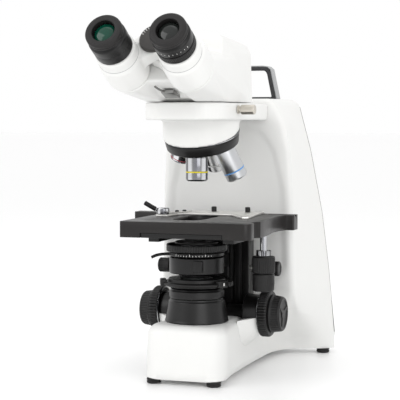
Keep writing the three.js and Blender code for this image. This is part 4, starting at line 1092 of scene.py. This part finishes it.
@dataclass
class Stage:
    """Mechanical stage with its specimen holder and coaxial drive."""

    top: float = 173.8
    drive_x: float = 72.0
    drive_y: float = 10.0

    def build(self) -> None:
        """Makes the stage, the specimen holder and the drive."""
        finished("stage_table", refined("stage_plate", 0.7), STAGE_COAT, "stage", ["stage_plate"])
        finished("stage_under_rail", refined("stage_rail_plate", 0.5), BLACK_PAINT, "stage_carrier",
                 ["stage_rail_plate"])
        finished("slide_holder", refined("specimen_holder", 0.35), STEEL, "specimen_slide",
                 ["specimen_holder"])
        finished("clamp_finger", refined("clamp_arm", 0.35), STEEL, "slide_clamp", ["clamp_arm"])
        self.fittings()
        self.drive()
        self.scale()

    def fittings(self) -> None:
        """Black screws on the holder, and the clamp's handle and screws."""
        for k, x in enumerate((-3.6, 36.0)):
            cap = turned([(0, 175.9), (2.9, 175.9), (2.9, 181.2), (2.2, 181.6), (1.4, 181.6), (1.2, 180.8),
                          (0, 180.8)], 0.3, 48)
            finished(f"holder_screw_{k + 1}", cap, BLACK_PLASTIC, "specimen_slide", (),
                     Matrix.Translation((x, 69, 0)))
        for k, (x, y) in enumerate(((-30, 20), (-25, 30))):
            head = turned([(0, 178.2), (2.2, 178.2), (2.2, 179.4), (1.6, 179.9), (0, 179.9)], 0.2, 40)
            finished(f"clamp_screw_{k + 1}", head, BLACK_PLASTIC, "slide_clamp", (),
                     Matrix.Translation((x, y, 0)))
        boss = turned([(0, 176.4), (6.6, 176.4), (7, 177), (7, 182.4), (6.2, 183.4), (2.8, 183.4),
                       (2.4, 182.8), (0, 182.8)], 0.4, 64)
        finished("clamp_boss", boss, CHROME, "slide_clamp", (), Matrix.Translation((-40, 3, 0)))
        neck = swept(smooth_line([(-44, 1, 180.4), (-47, 0, 181.6), (-49, -0.8, 182.8)], 6), circle(1.5, 20),
                     Vector((0, 0, 1)))
        finished("clamp_neck", neck, CHROME, "slide_clamp")
        path = smooth_line([(-47.4, 0, 182), (-51, -1.8, 184.2), (-58, -5, 188.8)], 12)
        grip = joined(swept(path, circle(2.5, 24), Vector((0, 0, 1))),
                      placed(turned([(0, -0.6), (1.6, -0.5), (2.5, 0.4), (2.5, 1), (0, 1)], 0.5, 24),
                             Matrix.Translation((-58, -5, 188.8)) @ Vector((0.76, 0.35, -0.5)).to_track_quat(
                                 "Z", "Y").to_matrix().to_4x4()))
        finished("clamp_lever", grip, BLACK_PLASTIC, "slide_clamp", ["clamp_handle"])

    def drive(self) -> None:
        """The drive post and the two coaxial knobs under the stage."""
        place = Matrix.Translation((self.drive_x, self.drive_y, 0))
        post = turned([(0, 98.5), (2.5, 98.5), (2.5, 134), (7.9, 134), (7.9, 139.6), (3.8, 139.8),
                       (3.8, 161.6), (0, 161.6)], 0.2, 144)
        finished("drive_shaft", flute(post, 24, 0.5, 134.4, 139.4, 7), CHROME, "stage", ["drive_post"],
                 place.copy())
        teeth = turned([(4.2, 134.1), (8, 134.1), (8, 139.7), (4.2, 139.7), (4.2, 134.1)], 0.2, 144)
        finished("drive_collar", flute(teeth, 24, 0.7, 133, 141, 7), BLACK_PLASTIC, "stage", (), place.copy())
        upper = turned([(2.8, 115.3), (11.4, 115.3), (12.2, 116.2), (12.4, 118), (12.4, 122), (12.4, 126),
                        (12.4, 131), (12.2, 132.6), (11.4, 133.5), (2.8, 133.5), (2.8, 115.3)], 0.4, 192)
        finished("stage_knob_upper", flute(upper, 32, 0.5, 116.4, 132.4, 11.8), BLACK_PLASTIC, "y_drive",
                 ["y_drive_knob"], place.copy())
        lower = turned([(2.8, 96.2), (10.4, 96.2), (11.4, 97.2), (11.8, 104), (11.9, 113), (11.2, 114.8),
                        (2.8, 114.8), (2.8, 96.2)], 0.4, 192)
        finished("stage_knob_lower", flute(lower, 32, 0.4, 98, 112, 11), BLACK_PLASTIC, "x_drive",
                 ["x_drive_knob"], place.copy())

    def scale(self) -> None:
        """Scale lines along the rear bar of the stage."""
        bars = []
        for i in range(60):
            x, far = -60 + 2 * i, 74.2 if i % 5 == 0 else 72.6
            bars.append(block((x, 70.4, self.top - 0.2), (x + 0.3, far, self.top + 0.06), 0.04, 1))
        finished("stage_scale", joined(*bars), MARK_WHITE, "stage")


@dataclass
class Condenser:
    """Condenser with iris, filter holder and height drive."""

    y: float = 76.0
    z: float = 113.0

    def build(self) -> None:
        """Makes the condenser stack and its height drive."""
        fork = turned([(24, 114.6), (29, 114.6), (29.5, 115.4), (29.5, 131), (29, 131.8), (24, 131.8),
                       (24, 114.6)], 0.5, 128)
        arm = block((-16, 26, 115.5), (16, 66.2, 130.8), 1.0)
        slide = block((-16, 61.5, 102.5), (16, 66.2, 139.8), 1.0)
        window = block((6, -30.6, 117.5), (16, -22, 130), 0.6)
        finished("condenser_cradle", joined(fork, arm, slide, window), BLACK_PAINT, "condenser",
                 ["condenser_fork"])
        body = turned([(15, 114.4), (23.7, 114.4), (23.7, 131.8), (19.7, 131.8), (19.7, 137.6), (31, 137.8),
                       (32.4, 138.4), (32.8, 139.4), (32.8, 144.6), (32.4, 145.6), (31, 146.1), (23.4, 146.3),
                       (23.4, 148), (22.6, 148.7), (13, 150), (12.4, 155), (11.4, 157), (11, 163.4),
                       (9, 163.4), (9, 150), (15, 142), (15, 114.4)], 0.4, 288)
        finished("condenser_barrel", flute(body, 72, 0.6, 139, 145, 32), BLACK_PAINT, "condenser",
                 ["condenser_body"])
        lens = turned([(0, 157), (8.7, 158), (8.7, 162.6), (6, 163.6), (0, 164)], 0.4, 64)
        finished("condenser_front_lens", lens, FIELD_GLASS, "condenser", ["condenser_lens"])
        ring = turned([(20, 133.2), (29.4, 133.2), (30, 133.8), (30, 136.6), (29.4, 137.1), (20, 137.1),
                       (20, 133.2)], 0.3, 128)
        path = smooth_line([(-26, -12, 135), (-34, -15, 134.6), (-40, -17.4, 133.4), (-45, -19.6, 131.2)], 16)
        lever = swept(path, circle(1.6, 20), Vector((0, 0, 1)))
        finished("iris_control", joined(ring, lever), BLACK_PAINT, "iris", ["iris_ring"])
        marks = Ticks(30.0, 134.0, 136.4, -118, 6.5, 13, 0.6)
        finished("iris_marks", marks.mesh(), MARK_WHITE, "iris")
        self.filter()
        self.height_drive()

    def filter(self) -> None:
        """Swing-out filter holder with its glass."""
        tray = turned([(15.3, 100.2), (32.5, 100.2), (33, 101.6), (36.4, 101.8), (37.4, 102.6), (37.6, 104.4),
                       (36.8, 105.2), (31, 105.4), (30.6, 108.8), (17.3, 108.8), (17.3, 104), (15.3, 104),
                       (15.3, 100.2)], 0.4, 128)
        pin = placed(turned([(0, 105), (3.5, 105), (3.5, 113.4), (0, 113.4)], 0.3, 40),
                     Matrix.Translation((-27, 27, 0)))
        tabs = [placed(block((33, -6.5, 100.6), (39.6, 6.5, 108.6), 1.2),
                       Matrix.Rotation(math.radians(a), 4, "Z")) for a in (-24, 206)]
        grip = placed(block((35, -4, 102), (42.6, 4, 107), 1.0), Matrix.Rotation(math.radians(-10), 4, "Z"))
        finished("filter_tray", joined(tray, pin, grip, *tabs), BLACK_PLASTIC, "filter_swing",
                 ["filter_holder"])
        spot = placed(block((39.0, -0.8, 103), (39.8, 0.8, 106), 0.1),
                      Matrix.Rotation(math.radians(-24), 4, "Z"))
        finished("filter_mark", spot, MARK_WHITE, "filter_swing")
        glass = turned([(0, 104.3), (16.9, 104.3), (16.9, 107), (0, 107)], 0.3, 64)
        finished("filter_disc", glass, FIELD_GLASS, "filter_swing")

    def height_drive(self) -> None:
        """Shaft and knobs that raise the condenser."""
        dress(STEEL, "height_shaft")
        for side, sign in SIDES:
            knob = turned([(0, 57.5), (7.6, 57.5), (8.3, 58.4), (8.3, 64), (8.3, 70.4), (7.4, 71.5),
                           (5, 71.5), (4.6, 71), (0, 71)], 0.4, 144)
            finished(f"condenser_knob_{side}", flute(knob, 24, 0.5, 59, 70, 7.9), BLACK_PLASTIC,
                     "condenser_drive", [f"height_knob_{side}"], turn_x((0, self.y, self.z), sign))


@dataclass(frozen=True)
class Objective:
    """One objective: its place on the turret, its size and its colour band."""

    node: str
    angle: float
    length: float
    tip: float
    band: Finish
    barrel: Finish


@dataclass
class Nosepiece:
    """Revolving nosepiece with four objectives."""

    tilt: float = math.radians(20.5)
    y: float = 20.0
    z: float = 251.7
    radius: float = 39.4
    seat: float = 21.3
    barrel_r: float = 12.0
    long_from: float = 25.0

    def frame_of(self) -> Matrix:
        """Place of the turret, with its axis along its own Z."""
        return Matrix.Translation((0, self.y, self.z)) @ Matrix.Rotation(self.tilt, 4, "X")

    def build(self) -> None:
        """Makes the turret, the seat ring and the objectives."""
        r = self.radius
        turret = turned([(0, -8), (8, -5.4), (self.seat - 4, -1.6), (self.seat + 4, 0.4), (r - 4, -0.4),
                         (r - 1.2, -0.2), (r, 1.0), (r + 0.4, 4), (r + 0.9, 7), (r + 1.2, 10),
                         (r + 0.8, 11.4), (r - 0.4, 12), (0, 12)], 0.9, 160)
        finished("turret_ring", turret, BLACK_PAINT, "nosepiece", ["turret"], self.frame_of())
        seat = turned([(12, 12.3), (r + 2.0, 12.3), (r + 2.5, 12.9), (r + 2.1, 13.5), (12, 13.5),
                       (12, 12.3)], 0.2, 128)
        finished("turret_seat", seat, CHROME, "stand", ["nosepiece_seat"], self.frame_of())
        for item in (
            Objective("objective_40x", 0, 41, 4.5, BLUE, SATIN_CHROME),
            Objective("objective_100x", 90, 43, 4, MARK_WHITE, CHROME),
            Objective("objective_4x", 180, 18, 9, RED, CHROME),
            Objective("objective_10x", 270, 31.4, 7, YELLOW, CHROME),
        ):
            self.objective(item)

    def objective(self, item: Objective) -> None:
        """One objective with its knurled neck and colour band.

        Args:
            item: The objective.
        """
        place = (self.frame_of() @ Matrix.Rotation(math.radians(item.angle), 4, "Z")
                 @ Matrix.Translation((self.seat, 0, 0)) @ Matrix.Rotation(-self.tilt, 4, "Y"))
        r, end = self.barrel_r, -item.length
        long = item.length > self.long_from
        neck = -5.0 if long else -2.5
        taper = 1.6 if long else 2.4
        band = end + (10.0 if long else 2.6)
        barrel = turned([
            (0, 3.9), (9.4, 3.9), (9.4, -0.4), (r - 1.2, -0.5), (r, -1.4), (r, neck), (r - 0.5, neck - 0.3),
            (r - 0.5, neck - 0.9), (r, neck - 1.2), (r, band + 0.9), (r - 0.3, band + 0.7),
            (r - 0.3, band - 0.7), (r, band - 0.9), (r, end + taper + 0.4), (r - 1.4, end + 0.4),
            (item.tip + 2.4, end + 0.1), (item.tip + 1.2, end), (item.tip + 0.2, end + 0.2),
            (item.tip - 1, end + 0.9), (0, end + 0.9)], 0.3, 240)
        if long:
            flute(barrel, 60, 0.3, neck + 0.4, -1.8, r - 0.4)
        finished(item.node + "_barrel", barrel, item.barrel, "nosepiece", [item.node], place.copy())
        stripe = turned([(r - 0.9, band - 0.65), (r - 0.05, band - 0.65), (r - 0.05, band + 0.65),
                         (r - 0.9, band + 0.65), (r - 0.9, band - 0.65)], 0.1, 128)
        finished(item.node + "_band", stripe, item.band, "nosepiece", (), place.copy())
        lens = turned([(0, end + 0.2), (item.tip - 1.2, end + 0.5), (item.tip - 1.2, end + 1.4),
                       (0, end + 1.4)], 0.1, 48)
        finished(item.node + "_lens", lens, DARK_LENS, "nosepiece", (), place.copy())


@dataclass
class BinocularTube:
    """Tilted binocular tube with its two swinging eyepiece arms."""

    tilt: float = math.radians(30)
    hub_y: float = -127.5
    hub_z: float = 359.0
    eye: float = 32.7
    drop: float = 20.9
    arm: float = 32.0
    floor: float = 297.3

    def frame_of(self) -> Matrix:
        """Place of the tube: x to the user's left, y up across the hub, z into the body.

        Returns:
            The place, in millimetres.
        """
        c, s = math.cos(self.tilt), math.sin(self.tilt)
        turn = Matrix(((-1, 0, 0, 0), (0, s, c, 0), (0, c, -s, 0), (0, 0, 0, 1)))
        return Matrix.Translation((0, self.hub_y, self.hub_z)) @ turn

    def build(self) -> None:
        """Makes the tube's body, arms and eyepieces."""
        self.body()
        self.swing_arm("left", 1, 3.6, 17.9)
        self.swing_arm("right", -1, 18.3, 32.0)
        self.eyepiece("left", 1, GREEN_LENS)
        self.eyepiece("right", -1, DARK_LENS)
        self.dial()
        self.lever()

    def lever(self) -> None:
        """The beam lever: a wedge in the pocket under the body and its thin rod."""
        wedge = hull([(-7, -76, 304.5), (9, -76, 304.5), (-7, -76, 300.5), (9, -76, 300.5),
                      (-5.6, -93, 309), (7.6, -93, 309), (-5.6, -93, 305.5), (7.6, -93, 305.5)])
        bevel(wedge, [e for e in wedge.edges if e.calc_face_angle(0.0) > 0.4], 0.5)
        path = smooth_line([(-2, -90, 306.6), (-4.5, -99, 308.6), (-7, -106, 311.6)], 16)
        finished("beam_switch_lever", joined(wedge, swept(path, circle(1.1, 20), Vector((1, 0, 0)))),
                 GUNMETAL, "beam_selector", ["beam_lever"])

    def body(self) -> None:
        """The white housing behind the eyepiece arms."""
        tube = self.frame_of()
        face = self.arm + 0.3
        rim = ((16, 13), (34, 8), (52, -6), (54, -16), (50, -24), (28, -30))
        foot = ((31, -45), (41, -41), (45, -31), (46, 54), (38, 63))
        lobe_r = 21.9
        leg_rim = [(self.eye + lobe_r * math.cos(math.radians(a)),
                    lobe_r * math.sin(math.radians(a)) - self.drop) for a in range(-160, 16, 10)]
        leg_foot = ((18, -58), (30, -54.5), (39, -46), (44.5, -30), (18, -30))
        front = []
        rear = []
        legs = []
        for s in (-1, 1):
            front += [tube @ Vector((s * x, y, face)) for x, y in rim]
            front += [Vector((s * x, y, self.floor)) for x, y in foot[:4]]
            front += [Vector((s * 43, 0, 345)), Vector((s * 43, 30, 345))]
            for x, y in foot:
                rear.append(Vector((s * x, y + (14 if y < 0 else 0), self.floor)))
                rear.append(Vector((s * x, y + (16 if y < 0 else -6), 350)))
            legs.append(hull([*(tube @ Vector((s * x, y, face)) for x, y in (*leg_rim, (34, 8))),
                              *(Vector((-s * x, y, self.floor)) for x, y in leg_foot),
                              Vector((-s * 43, 0, 345)), Vector((-s * 18, 0, 345))]))
            rear += [Vector((s * 40, -34, 363)), Vector((s * 41, 50, 359.5)), Vector((s * 34, -32, 368)),
                     Vector((s * 34, 45, 363))]
        housing = moulded([hull(front), hull(rear), *legs], 1.3, 5)
        finished("tube_housing", housing, WHITE, "tube_head", ["binocular_body"], crease=60)

    def swing_arm(self, side: str, sign: int, low: float, high: float) -> None:
        """One prism arm with the socket for its eyepiece.

        Args:
            side: Name of the side.
            sign: 1 on the left and -1 on the right.
            low: Where its hub plate begins along the hub.
            high: Where the hub plate ends.
        """
        points = []
        for z, grow in ((-1.0, -2.2), (0.6, -0.6), (2.6, 0.0), (29.4, 0.0), (31.2, -0.6), (self.arm, -2.0)):
            points += [(sign * self.eye + x, y - self.drop, z) for x, y in circle(22.6 + grow, 72)]
            points += [(sign * 39 + x, y - 13, z) for x, y in circle(16 + grow, 48)]
        lobe = hull(points)
        hub = turned([(0, low), (15.2, low), (15.2, high), (0, high)], 0.8, 72)
        reach = math.hypot(self.eye, self.drop)
        neck = placed(block((0, -14, low), (reach, 14, high), 0.8),
                      Matrix.Rotation(math.atan2(-self.drop, sign * self.eye), 4, "Z"))
        socket = turned([(0, -13.6), (19.8, -13.6), (20.8, -12.6), (21, -11), (21, 0), (0, 4)], 0.4, 96)
        placed(socket, Matrix.Translation((sign * self.eye, -self.drop, 0)))
        casting = moulded([lobe, hub, neck, socket], 1.1, 4)
        finished(f"prism_housing_{side}", casting, WHITE, f"{side}_tube", [f"prism_arm_{side}"],
                 self.frame_of(), crease=60)
        seam = turned([(20.2, -1.9), (21.25, -1.9), (21.25, -1.4), (20.2, -1.4), (20.2, -1.9)], 0.05, 96)
        finished(f"socket_seam_{side}", seam, BAND, f"{side}_tube", (), self.eye_place(sign))

    def eye_place(self, sign: int) -> Matrix:
        """Place of one eyepiece, with its axis along its own Z."""
        return self.frame_of() @ Matrix.Translation((sign * self.eye, -self.drop, 0))

    def eyepiece(self, side: str, sign: int, coating: Finish) -> None:
        """One eyepiece: barrel, rubber eyecup and lens.

        Args:
            side: Name of the side.
            sign: 1 on the left and -1 on the right.
            coating: Finish of its lens.
        """
        seat, front = -14.3, -38.8
        place = self.eye_place(sign)
        barrel = turned([(11.5, 8), (11.5, front + 1), (15, front + 1), (16.4, front + 2), (17, front + 3.4),
                         (19, front + 4.4), (19.5, front + 5.4), (19.5, -24.4), (16.1, -24.4), (16.1, -15.1),
                         (19.5, -15.1), (19.3, seat), (15, seat), (15, 8), (11.5, 8)], 0.4, 160)
        if side == "left":
            sleeve = turned([(16.2, -24.2), (19.4, -24.2), (19.4, -15.2), (16.2, -15.2), (16.2, -24.2)],
                            0.2, 128)
            barrel = joined(barrel, sleeve)
        finished(f"eyepiece_barrel_{side}", barrel, BLACK_PAINT, f"{side}_tube", [f"eyepiece_{side}"],
                 place.copy())
        cup = front + 0.7
        rubber = turned([(12, cup), (12, cup - 2), (11.6, cup - 6.6), (12.4, cup - 7.3), (15.6, cup - 7.5),
                         (16.2, cup - 7.2), (16.6, cup - 7.4), (17.8, cup - 6.8), (18.6, cup - 5.6),
                         (18.8, cup - 3), (18.2, cup - 2.4), (18.9, cup - 1.8), (18.6, cup), (12, cup)],
                        0.35, 128)
        finished(f"eyecup_rubber_{side}", rubber, RUBBER, f"{side}_tube", [f"eyecup_{side}"], place.copy())
        lens = turned([(0, front - 4.0), (5, front - 3.5), (9, front - 2.2), (11.2, front - 0.8),
                       (11.3, front + 5), (0, front + 5)], 1.6, 96)
        finished(f"eye_lens_{side}", lens, coating, f"{side}_tube", (), place.copy())
        if side == "right":
            ring = turned([(16.4, -23.2), (19.4, -23.2), (19.8, -22.4), (19.8, -16.4), (19.4, -15.4),
                           (16.4, -15.4), (16.4, -23.2)], 0.3, 240)
            finished("dioptre_grip", flute(ring, 60, 0.3, -22.6, -16.2, 19.2), BLACK_PLASTIC, "dioptre",
                     ["dioptre_ring"], place.copy())
            marks = Ticks(19.5, -29.6, -27.4, -150, 12, 9, 0.5)
            finished("dioptre_marks", marks.mesh(), MARK_WHITE, "right_tube", (), place.copy())

    def dial(self) -> None:
        """The eye distance dial on the hub."""
        disc = turned([(0, 0.5), (10, 0.4), (14, 0), (15.2, 0.7), (15.6, 1.6), (15.6, 3.3), (0, 3.3)],
                      0.4, 96)
        finished("hub_disc", disc, DIAL, "tube_head", ["hub_dial"], self.frame_of())
        bars = [placed(block((12, -0.25, -0.08), (14 if i % 2 else 14.4, 0.25, 0.4), 0.05, 1),
                       Matrix.Rotation(math.radians(20 + 12 * i), 4, "Z")) for i in range(9)]
        finished("hub_marks", joined(*bars), MARK_WHITE, "tube_head", (), self.frame_of())


# ------------------------------------------------------------------ studio


@dataclass
class Studio:
    """Floor, light and camera."""

    azimuth: float = 19.32
    distance: float = 1435.9
    height: float = 276.5
    pitch: float = 3.34
    lens: float = 120.4

    def build(self) -> None:
        """Sets up the whole studio."""
        self.floor()
        self.lights()
        self.camera()

    def floor(self) -> None:
        """A pale floor far wider than the view."""
        bm = bmesh.new()
        bmesh.ops.create_grid(bm, x_segments=1, y_segments=1, size=30.0)
        mesh = bpy.data.meshes.new("studio_floor")
        bm.to_mesh(mesh)
        bm.free()
        floor = bpy.data.objects.new("studio_floor", mesh)
        bpy.context.scene.collection.objects.link(floor)
        paper = Finish("studio_paper", "white_paint", (0.97, 0.97, 0.97), 0.3, grain=40, relief=0.0,
                       mottle=0.03, tint=0.01)
        mesh.materials.append(paper.material())

    def lights(self) -> None:
        """White surroundings with large soft boxes."""
        world = bpy.data.worlds.new("studio")
        bpy.context.scene.world = world
        world.use_nodes = True
        back = world.node_tree.nodes["Background"]
        back.inputs["Color"].default_value = (1.0, 1.0, 1.0, 1.0)
        back.inputs["Strength"].default_value = 1.0
        for name, place, size, power in (
            ("key_box", (-1.2, -1.2, 1.2), 1.2, 9.0),
            ("fill_box", (1.2, -1.5, 0.7), 1.2, 9.0),
            ("top_box", (0.1, 0.2, 1.8), 1.4, 4.0),
        ):
            data = bpy.data.lights.new(name, "AREA")
            data.size = size
            data.energy = power
            lamp = bpy.data.objects.new(name, data)
            lamp.location = place
            aim = Vector((0, 0, 0.2)) - Vector(place)
            lamp.rotation_euler = aim.to_track_quat("-Z", "Y").to_euler()
            bpy.context.scene.collection.objects.link(lamp)
        bpy.context.scene.view_settings.view_transform = "Standard"

    def camera(self) -> None:
        """The camera at the product view."""
        data = bpy.data.cameras.new("camera")
        data.lens = self.lens
        data.sensor_width = 36.0
        data.shift_x = 0.008
        data.clip_end = 100.0
        camera = bpy.data.objects.new("camera", data)
        a = math.radians(self.azimuth)
        camera.location = AXIS + Vector((math.sin(a), -math.cos(a), 0)) * self.distance * MM
        camera.location.z = self.height * MM
        camera.rotation_euler = (math.radians(90 - self.pitch), 0.0, a)
        bpy.context.scene.collection.objects.link(camera)
        bpy.context.scene.camera = camera


def main() -> None:
    """Builds the materials' groups, every sub-assembly and the studio."""
    surface_grain_group()
    machining_group()
    for part in (Stand(), FocusDrive(), Stage(), Condenser(), Nosepiece(), BinocularTube(), Studio()):
        LOG.info("building %s", type(part).__name__)
        part.build()


if __name__ == "__main__":
    main()
